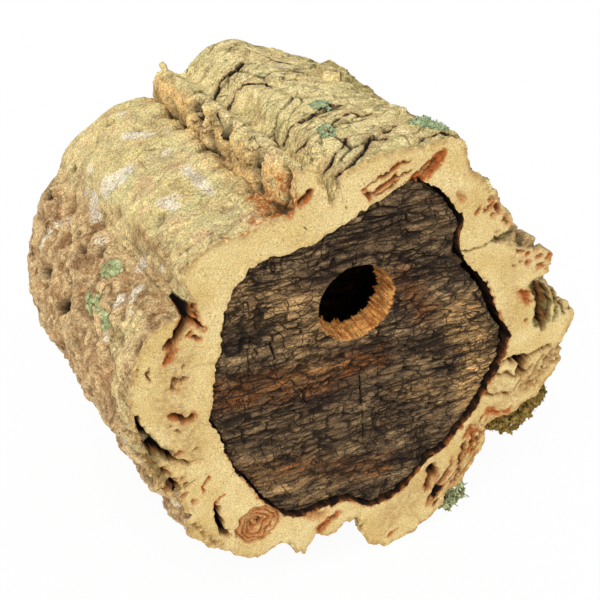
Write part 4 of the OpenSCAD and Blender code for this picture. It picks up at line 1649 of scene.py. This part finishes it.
@dataclass
class DarkPanel:
    """An end panel of dark bark, with or without the entrance hole."""

    name: str
    node: str
    body: Body
    facing: Facing
    tints: tuple[Tint, ...]
    cracks: tuple[Gash, ...]
    middle: tuple[float, float]
    hole: float
    seed: float
    columns: int = 839
    rows: int = 195
    pieces: int = 2
    fit: float = 0.3
    side_gap: float = 0.0
    furrow_depth: float = 0.0
    furrow_pitch: float = 18.0
    furrow_waves: Path3 = ((1, 110, 0), (0.62, -75, 0.3))
    recess: Path2 = ((0.0, 38.0), (0.0, 47.0))
    sections: Sections = field(default_factory=Sections)

    def relief(self, x: Array, z: Array) -> tuple[Array, dict[str, Array]]:
        """Depth and tints of the flaky face.

        Args:
            x: Sideways places about the axis.
            z: Heights about the axis.

        Returns:
            Depth in mm below the flat face and the masks of the finish.
        """
        layer = self.seed * 40
        spot = np.stack([x, z], axis=1)
        solid = space(x, layer, z)
        lay = space(x * 0.3, layer, z)
        wx = x + 3.5 * fractal(solid, 12, 3, 1)
        wz = z + 2.0 * fractal(lay, 7, 3, 2)
        gap, _, tone, off = plates(space(wx / 10.0, wz / 3.2, layer))
        seam = fade(0.16, 0.02, gap) * fade(-0.25, 0.15, fractal(lay, 7, 2, 8))
        furrow = fade(0.09, 0.0, np.abs(fractal(lay, 8, 3, 3))) * fade(-0.2, 0.2, fractal(solid, 20, 2, 4))
        cross = space(x, layer, z * 0.3)
        split = fade(0.05, 0.0, np.abs(fractal(cross, 10, 3, 5))) * fade(0.05, 0.3, fractal(solid, 11, 2, 6))
        fibre = fractal(space(x * 0.16, layer, z), 2.0, 3, 11)
        waves = [
            np.sin(2 * np.pi * (per * z / self.furrow_pitch + x / long + start))
            for per, long, start in self.furrow_waves
        ]
        depth = self.furrow_depth * 0.5 * np.mean(waves, axis=0) + 0.5 * fractal(lay, 18, 2, 7)
        depth += 0.2 + 0.7 * (tone - 0.5) - 0.5 * off[:, 1] + 0.35 * fibre
        depth += 0.8 * seam + 0.9 * furrow + 1.0 * split
        crack = np.maximum.reduce([0.8 * seam, 0.85 * furrow, 0.9 * split])
        wobble = 0.5 * fractal(solid, 3.0, 3, 9)
        for gash in self.cracks:
            hit = fade(gash.reach + 0.3, gash.reach - 0.3, path_distance(spot, gash.path) + wobble)
            depth += gash.depth * hit
            crack = np.maximum(crack, hit)
        masks = {label: np.zeros_like(x) for label in ("rust", "orange", "ashen")}
        blur = fractal(lay, 14, 4, 10)
        for tint in self.tints:
            away = path_distance(spot, tint.path) + tint.soft * blur
            hit = tint.amount * fade(tint.reach + tint.soft, tint.reach - tint.soft, away)
            masks[tint.label] = np.maximum(masks[tint.label], hit)
        masks["flake"] = np.clip(fade(1.0, -0.5, depth) * (0.3 + 0.7 * tone), 0, 1) * (1 - seam)
        masks["crack"] = np.clip(crack, 0, 1)
        return np.clip(depth, -1.0, 4.5), masks

    def rings(self) -> tuple[Array, Array, Array]:
        """Work out the columns of the panel.

        Returns:
            Directions from the middle, the ragged outer edge and the rim of the hole.
        """
        angle = np.linspace(0.0, 2 * np.pi, 4000)
        steps = np.linalg.norm(np.diff(self.sections.inside(angle, self.middle), axis=0), axis=1)
        lengths = np.concatenate([[0.0], np.cumsum(steps)])
        angle = np.interp(np.linspace(0.0, lengths[-1], self.columns), lengths, angle)
        edge = self.sections.inside(angle, self.middle)
        toward = np.stack([np.cos(angle), np.sin(angle)], axis=1)
        solid = space(edge[:, 0], self.seed * 30, edge[:, 1])
        turn = np.arctan2(edge[:, 1], edge[:, 0])
        gap = self.fit + self.side_gap * np.clip(np.cos(turn - math.radians(15)), 0, 1) ** 2
        ragged = np.clip(0.2 + 0.6 * fractal(solid, 3.0, 3, self.seed), 0, 0.9)
        ragged[-1] = ragged[0]
        radial = edge / np.linalg.norm(edge, axis=1)[:, None]
        edge = edge - (gap + ragged)[:, None] * radial
        return toward, edge, np.array(self.middle) + self.hole * toward

    def face(self, toward: Array, edge: Array, rim: Array) -> tuple[Array, Array, dict[str, Array]]:
        """Work out the bark face between the rim and the edge.

        Args:
            toward: Directions from the middle.
            edge: Outer edge.
            rim: Rim of the hole.

        Returns:
            Flat places, depth in mm below the flat face and the masks of the finish.
        """
        share = np.linspace(0.0, 1.0, self.rows)[:, None, None]
        flat = (1 - share) * rim + share * edge
        x, z = flat[:, :-1, 0], flat[:, :-1, 1]
        depth, masks = self.relief(x.ravel(), z.ravel())
        masks = {label: self.closed(values.reshape(x.shape)) for label, values in masks.items()}
        depth = self.closed(depth.reshape(x.shape))
        depth += 0.6 * fade(1.6, 0.0, np.linalg.norm(flat - edge, axis=2))
        if self.hole:
            lip = np.linalg.norm(flat - rim, axis=2)
            depth *= fade(-1.5, 2.5, lip)
            lower = fade(0.35, -0.4, toward[None, :, 1] - 0.3 * toward[None, :, 0])
            masks["cut"] = 0.9 * fade(1.6, 0.2, lip + 1.2 * np.abs(depth)) * lower
        else:
            masks["cut"] = np.zeros_like(depth)
            recess = path_distance(flat.reshape(-1, 2), self.recess).reshape(depth.shape)
            depth = np.maximum(depth * fade(9.0, 12.0, recess), 7.0 * fade(6.2, 5.6, recess))
        return flat, depth, masks

    def build(self, effects: Effects) -> None:
        """Build the panel from its middle over its face, edge and back, and dress it.

        Args:
            effects: Shared groups.
        """
        low, high = (corner * 1000 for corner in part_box(self.node))
        inward = -float(self.facing.value)
        front, back = (low.y, high.y) if self.facing is Facing.FRONT else (high.y, low.y)
        toward, edge, rim = self.rings()
        flat, depth, masks = self.face(toward, edge, rim)
        layers = [np.dstack([flat[:, :, 0], front + inward * depth, flat[:, :, 1] + AXIS_HEIGHT])]
        cut = [masks["cut"]]

        def layer(points: Array, level: Array | float, amount: float) -> None:
            """Add one more row of points.

            Args:
                points: Flat points of the row.
                level: Their depth.
                amount: Their share of cut wood.
            """
            levels = np.broadcast_to(level, (1, self.columns))
            layers.append(np.dstack([points[None, :, 0], levels, points[None, :, 1] + AXIS_HEIGHT]))
            cut.append(np.full((1, self.columns), amount))

        start = layers[0][-1, :, 1]
        for step in np.linspace(0.0, 1.0, 9)[1:]:
            layer(edge, start + (back - start) * step, 0.25)
        for step in np.linspace(0.0, 1.0, 9)[1:]:
            layer((1 - step) * edge + step * rim, back, 0.0)
        if self.hole:
            fibre = space(14 * toward[:, 0], 0.0, 14 * toward[:, 1])
            tufts = np.clip(4.5 * fractal(fibre, 1.3, 3, 12) + 0.6, -0.1, 3.2)
            frayed = 0.12 * np.clip(fractal(fibre, 0.9, 2, 13), 0, 1)
            first = layers[0][0, :, 1]
            for step in np.linspace(0.0, 1.0, 15)[1:]:
                reach = self.hole - tufts * (1 - step) ** 2.2 - frayed
                reach = self.hole + (reach - self.hole) * (step < 1)
                layer(np.array(self.middle) + reach[:, None] * toward, back + (first - back) * step, 1.0)
        points = np.concatenate(layers)
        rows = len(points)
        full = {label: np.zeros((rows, self.columns)) for label in masks}
        for label in masks:
            full[label][: self.rows] = masks[label]
        full["cut"] = np.concatenate(cut)
        material = DarkBarkFinish().material(effects)
        cuts = np.linspace(0, self.columns - 1, self.pieces + 1).astype(int)
        for number, (first, last) in enumerate(zip(cuts[:-1], cuts[1:])):
            strip = slice(first, last + 1)
            part = {label: values[:, strip] for label, values in full.items()}
            piece = lay_grid(f"{self.name}_{number}", points[:, strip], part, self.facing is Facing.FRONT)
            settle(piece, material, self.body, Slot.DARK, self.node)

    @staticmethod
    def closed(values: Array) -> Array:
        """Repeat the first column at the end."""
        return np.concatenate([values, values[:, :1]], axis=1)


@dataclass
class Growth:
    """Lichen or moss that grows on the bark, as many small lobes or shoots."""

    name: str
    pads: tuple[Triple, ...]
    finish: GrowthFinish
    slot: Slot
    lobes: int
    size: float
    shoots: int = 0
    shoot_length: float = 0.0
    lean: float = 0.5
    clumps: tuple[tuple[float, ...], ...] = ()
    sections: Sections = field(default_factory=Sections)

    def lobe(self) -> Piece:
        """Model one ruffled lobe with a radius of about 1.

        Returns:
            The lobe.
        """
        bpy.ops.object.select_all(action="DESELECT")
        bpy.ops.mesh.primitive_ico_sphere_add(subdivisions=2, radius=1.0)
        piece = bpy.context.active_object
        for vertex in piece.data.vertices:
            x, y, z = vertex.co
            turn, reach = math.atan2(y, x), math.hypot(x, y)
            ruffle = 1.0 + 0.28 * math.sin(5 * turn) + 0.15 * math.sin(3 * turn + 1)
            cup = 0.35 * reach**2 * (0.6 + 0.4 * math.sin(4 * turn))
            vertex.co = (x * ruffle, y * ruffle, 0.22 * z + cup)
        return piece

    def shoot(self) -> Piece:
        """Model one bent shoot with a length of 1.

        Returns:
            The shoot.
        """
        bpy.ops.object.select_all(action="DESELECT")
        bpy.ops.mesh.primitive_cone_add(
            vertices=5, radius1=0.12, radius2=0.05, depth=1.0, location=(0, 0, 0.5)
        )
        bpy.ops.object.transform_apply(location=True)
        piece = bpy.context.active_object
        bpy.ops.object.mode_set(mode="EDIT")
        bpy.ops.mesh.select_all(action="SELECT")
        bpy.ops.mesh.subdivide(number_cuts=3)
        bpy.ops.object.mode_set(mode="OBJECT")
        for vertex in piece.data.vertices:
            vertex.co.x += 0.35 * vertex.co.z**2
            vertex.co.y += 0.06 * math.sin(9 * vertex.co.z)
        return piece

    def spots(self, count: int, tree: BVHTree, dice: random.Random) -> list[tuple[Vector, Vector]]:
        """Choose places to stand on: the bark under the pads and the skin of the clumps.

        Args:
            count: Places per pad or clump.
            tree: Bark to stand on.
            dice: Source of chance.

        Returns:
            Places in metres with their outward directions.
        """
        found = []
        for place, behind, reach in self.pads:
            y = FRONT_Y + behind
            spot = self.sections.outside(np.array([place % OUTLINE_POINTS]), np.array([y]))[0]
            out = Vector((spot[0], 0, spot[2])).normalized()
            side = out.cross(Vector((0, 1, 0)))
            for _ in range(count):
                turn, away = dice.uniform(0, 2 * math.pi), reach * math.sqrt(dice.random())
                start = Vector((spot[0], spot[1], spot[2] + AXIS_HEIGHT)) + 40 * out
                start += side * (away * math.cos(turn)) + Vector((0, away * math.sin(turn), 0))
                hit, normal, _, _ = tree.ray_cast(start * MM, -out)
                if hit is not None:
                    found.append((hit, normal))
        for x, y, z, rx, ry, rz in self.clumps:
            for _ in range(count):
                way = Vector([dice.gauss(0, 1) for _ in range(3)]).normalized()
                share = dice.uniform(0.72, 1.0)
                spot = Vector((
                    x + rx * share * way.x, y + ry * share * way.y, z + rz * share * way.z + AXIS_HEIGHT
                ))
                spot.y = max(spot.y, FRONT_Y + 1.5)
                found.append((spot * MM, Vector((way.x / rx, way.y / ry, way.z / rz)).normalized()))
        return found

    def strew(self, model: Piece, count: int, size: float, tree: BVHTree, dice: random.Random) -> list[Piece]:
        """Copy a model over pads and clumps, each copy with its own mesh.

        Args:
            model: Piece to copy, which is removed afterwards.
            count: Copies per pad or clump.
            size: Radius of a lobe or length of a shoot in mm.
            tree: Bark to stand on.
            dice: Source of chance.

        Returns:
            The copies.
        """
        copies = []
        for spot, normal in self.spots(count, tree, dice):
            lean = (normal + self.lean * Vector([dice.uniform(-1, 1) for _ in range(3)])).normalized()
            spin = Matrix.Rotation(dice.uniform(0, 6.28), 3, "Z").to_quaternion()
            turned = lean.to_track_quat("Z", "Y") @ spin
            scale = size * dice.uniform(0.55, 1.25) * MM
            copy = model.copy()
            copy.data = model.data.copy()
            copy.data.transform(Matrix.LocRotScale(spot, turned, Vector((scale,) * 3)))
            bpy.context.scene.collection.objects.link(copy)
            copies.append(copy)
        bpy.data.objects.remove(model)
        return copies

    def build(self, effects: Effects, tree: BVHTree, seed: int) -> None:
        """Strew lobes and shoots over the pads, join them and dress them.

        Args:
            effects: Shared groups.
            tree: Bark to stand on.
            seed: Seed of the strewing.
        """
        dice = random.Random(seed)
        copies = self.strew(self.lobe(), self.lobes, self.size, tree, dice)
        if self.shoots:
            copies += self.strew(self.shoot(), self.shoots, self.shoot_length, tree, dice)
        bpy.ops.object.select_all(action="DESELECT")
        for copy in copies:
            copy.select_set(True)
        bpy.context.view_layer.objects.active = copies[0]
        bpy.ops.object.join()
        piece = bpy.context.active_object
        piece.name = piece.data.name = self.name + "_growth"
        bpy.ops.object.shade_smooth()
        settle(piece, self.finish.material(effects), Body.HOUSE, self.slot, self.name)


@dataclass
class Hardware:
    """Pegs, pins, hanger plate and screws, which keep the shape of their solids."""

    steel: tuple[str, ...] = ("rear_panel_pins", "hanger_plate", "hanger_screws")
    wood: tuple[str, ...] = ("front_stop_pegs",)

    def dress(self, effects: Effects) -> None:
        """Give the solids their finishes.

        Args:
            effects: Shared groups.
        """
        for names, material in (
            (self.steel, SteelFinish().material(effects)), (self.wood, PegFinish().material(effects))
        ):
            for name in names:
                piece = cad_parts[name]
                piece.data.materials.clear()
                piece.data.materials.append(material)
                LOG.info("%s: %s", name, material.name)


@dataclass
class Studio:
    """Camera, soft light, white surroundings and a pale floor."""

    eye: Triple = (-174.886, -367.618, 361.656)
    azimuth: float = -25.5
    elevation: float = 33.0
    lens: float = 66.0
    world_light: float = 0.55
    key_light: float = 2.3
    fill_light: float = 0.5
    floor_size: float = 6.0

    def camera(self) -> None:
        """Set the camera at the photograph's place and angle."""
        camera = bpy.data.objects.new("camera", bpy.data.cameras.new("camera"))
        camera.data.lens = self.lens
        camera.data.sensor_width = 36.0
        camera.data.clip_start = 0.01
        camera.location = Vector(self.eye) * MM
        camera.rotation_euler = (math.radians(90 - self.elevation), 0, math.radians(self.azimuth))
        bpy.context.scene.collection.objects.link(camera)
        bpy.context.scene.camera = camera

    def sun(self, name: str, strength: float, direction: Triple, angle: float) -> None:
        """Add a wide soft lamp.

        Args:
            name: Name of the lamp.
            strength: Its strength.
            direction: From the object to the lamp.
            angle: Width of the lamp in degrees.
        """
        lamp = bpy.data.objects.new(name, bpy.data.lights.new(name, "SUN"))
        lamp.data.energy = strength
        lamp.data.angle = math.radians(angle)
        lamp.rotation_euler = Vector(direction).to_track_quat("Z", "Y").to_euler()
        bpy.context.scene.collection.objects.link(lamp)

    def surroundings(self) -> None:
        """Make the world white to the camera and soft to the object."""
        world = bpy.data.worlds.new("studio")
        world.use_nodes = True
        sheet = NodeSheet(world.node_tree)
        ray = sheet.add("ShaderNodeLightPath").outputs
        seen = sheet.calc("MAXIMUM", ray["Is Glossy Ray"], ray["Is Transmission Ray"])
        seen = sheet.calc("MAXIMUM", ray["Is Camera Ray"], seen)
        strength = sheet.plus(sheet.times(seen, 1.0 - self.world_light), self.world_light)
        back = world.node_tree.nodes["Background"]
        back.inputs["Color"].default_value = (1, 1, 1, 1)
        world.node_tree.links.new(strength, back.inputs["Strength"])
        bpy.context.scene.world = world

    def floor(self) -> None:
        """Lay a pale floor that is near white to the camera and keeps a faint shadow."""
        bpy.ops.object.select_all(action="DESELECT")
        bpy.ops.mesh.primitive_plane_add(size=self.floor_size)
        floor = bpy.context.active_object
        floor.name = "floor"
        material = bpy.data.materials.new("pale_floor")
        material.use_nodes = True
        sheet = NodeSheet(material.node_tree)
        shader = material.node_tree.nodes["Principled BSDF"]
        shader.inputs["Base Color"].default_value = linear((238, 238, 236))
        shader.inputs["Roughness"].default_value = 1.0
        glow = sheet.add("ShaderNodeEmission", {"Strength": 1.0}).outputs[0]
        share = sheet.times(sheet.add("ShaderNodeLightPath").outputs["Is Camera Ray"], 0.94)
        both = sheet.add("ShaderNodeMixShader", {0: share, 1: shader.outputs[0], 2: glow}).outputs[0]
        material.node_tree.links.new(both, material.node_tree.nodes["Material Output"].inputs["Surface"])
        floor.data.materials.append(material)

    def build(self) -> None:
        """Set up the whole studio."""
        self.camera()
        self.surroundings()
        self.floor()
        self.sun("key", self.key_light, (-0.55, -0.75, 1.0), 50.0)
        self.sun("fill", self.fill_light, (0.8, -0.9, 0.5), 70.0)
        bpy.context.scene.view_settings.view_transform = "Standard"


def front_panel() -> DarkPanel:
    """Describe the removable front panel.

    Returns:
        The panel.
    """
    tints = (
        Tint("rust", ((-63.9, 6.9), (-33.9, 2.9), (4.1, 4.9)), 8.0, 7.0),
        Tint("rust", ((12.1, 38.9), (19.1, 27.9), (27.1, 16.9)), 4.0, 5.0, 0.8),
        Tint("rust", ((-51.9, -37.1), (-31.9, -41.1), (8.1, -57.1)), 5.0, 7.0, 0.6),
        Tint("orange", ((-18.9, 5.5), (-10.4, 6.1), (-2.5, 9.5)), 1.2, 1.6),
        Tint("orange", ((-53.9, 13.9), (-47.9, 15.4)), 1.2, 1.6, 0.8),
        Tint("orange", ((42.1, -4.6), (47.1, -4.1)), 1.2, 1.6),
        Tint("orange", ((5.8, -58.8), (12.1, -57.1)), 1.5, 1.8, 0.8),
        Tint("orange", ((-35.9, -39.1), (-31.9, -39.1)), 1.2, 1.6, 0.7),
        Tint("orange", ((11.1, 33.9), (12.6, 36.9)), 1.2, 1.8, 0.8),
        Tint("ashen", ((42.1, 11.9), (52.1, -3.1), (56.1, -17.1), (50.1, -27.1)), 8.0, 5.0),
        Tint("ashen", ((-55.9, 47.9), (-37.9, 42.9), (-21.9, 16.9)), 8.0, 9.0, 0.45),
        Tint("ashen", ((-46.9, -42.1), (-29.9, -56.1), (-13.9, -67.1)), 4.0, 6.0, 0.5),
        Tint("ashen", ((18.1, -17.1), (38.1, -27.1)), 6.0, 9.0, 0.35),
    )
    cracks = (
        Gash(((-3.2, -2.1), (-1.9, -18.1), (0.1, -36.1)), 0.3, 1.6),
        Gash(((-41.9, 24.9), (-39.9, 16.9)), 0.35, 1.4),
    )
    return DarkPanel(
        name="front_bark", node="front_panel", body=Body.FRONT, facing=Facing.FRONT, tints=tints,
        cracks=cracks, middle=(-6.0, 33.0), hole=16.0, seed=1.0, side_gap=2.0, furrow_depth=1.2,
    )


def rear_panel() -> DarkPanel:
    """Describe the fixed rear panel.

    Returns:
        The panel.
    """
    tints = (
        Tint("rust", ((-50, 20), (0, 14), (50, 20)), 6.0, 8.0, 0.8),
        Tint("orange", ((20, -30), (30, -28)), 1.4, 1.8, 0.8),
        Tint("ashen", ((-40, -30), (-10, -40)), 7.0, 8.0, 0.6),
        Tint("ashen", ((30, 30), (36, 44)), 4.0, 6.0, 0.5),
    )
    cracks = (
        Gash(((-20, -10), (-21, -40)), 0.3, 1.6),
        Gash(((28, 4), (27, -16)), 0.35, 1.4),
    )
    return DarkPanel(
        name="rear_bark", node="rear_panel", body=Body.HOUSE, facing=Facing.REAR, tints=tints,
        cracks=cracks, middle=(0.0, 0.0), hole=0.0, seed=2.0, columns=640, rows=120, pieces=1,
    )


def growths() -> tuple[Growth, ...]:
    """Describe the lichen and moss on the bark.

    Returns:
        The growths.
    """
    mint = GrowthFinish("mint_lichen", (150, 168, 126), (188, 200, 154), (88, 92, 56))
    sage = GrowthFinish("sage_lichen", (166, 176, 124), (200, 206, 154), (98, 96, 58))
    grey = GrowthFinish("grey_lichen", (128, 132, 84), (190, 194, 146), (62, 64, 34))
    moss = GrowthFinish("brown_moss", (122, 98, 42), (156, 130, 66), (54, 42, 18))
    return (
        Growth("lichen_top", ((17.8, 48, 4), (18.4, 28, 4)), mint, Slot.LICHEN, 46, 1.2, lean=0.35),
        Growth("lichen_crest", ((15.9, 17, 4), (15.3, 12, 4)), mint, Slot.LICHEN, 60, 1.6, lean=0.7),
        Growth(
            "lichen_left", ((32.4, 48, 3.5), (34, 47, 4), (34, 35, 3.5)),
            sage, Slot.LICHEN, 40, 1.2, lean=0.35,
        ),
        Growth("lichen_low", (), grey, Slot.LICHEN, 60, 1.5, 14, 3.5, 0.9, (
            (44, -58, -89, 4.5, 5, 4.5), (51, -58, -88, 4.5, 5, 6.5), (48, -58, -94, 4, 4, 3.5),
        )),
        Growth("moss_right", (), moss, Slot.MOSS, 170, 1.5, 60, 2.0, 0.9, (
            (69, -57, -53, 6, 6, 6), (76, -57, -55, 7.5, 7, 8.5), (83, -57, -52, 6, 6, 7),
            (88, -58, -48, 4.5, 4, 5.5), (91, -58, -45, 3.5, 4, 5.5),
        )),
    )


def bark_tree() -> BVHTree:
    """Make the bark something that growth can stand on.

    Returns:
        The tree.
    """
    corners, faces = [], []
    for name in ("bark_under", "bark_crown", "bark_left"):
        mesh = bpy.data.objects[name].data
        first = len(corners)
        corners += [v.co.copy() for v in mesh.vertices]
        faces += [[first + i for i in p.vertices] for p in mesh.polygons]
    return BVHTree.FromPolygons(corners, faces)


def main() -> None:
    """Build every sub-assembly in order."""
    logging.basicConfig(level=logging.INFO, format="%(name)s: %(message)s")
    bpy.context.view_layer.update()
    effects = Effects()
    Studio().build()
    BarkTube().build(effects)
    front_panel().build(effects)
    rear_panel().build(effects)
    tree = bark_tree()
    for seed, growth in enumerate(growths(), start=3):
        growth.build(effects, tree, seed)
    Hardware().dress(effects)


if __name__ == "__main__":
    main()
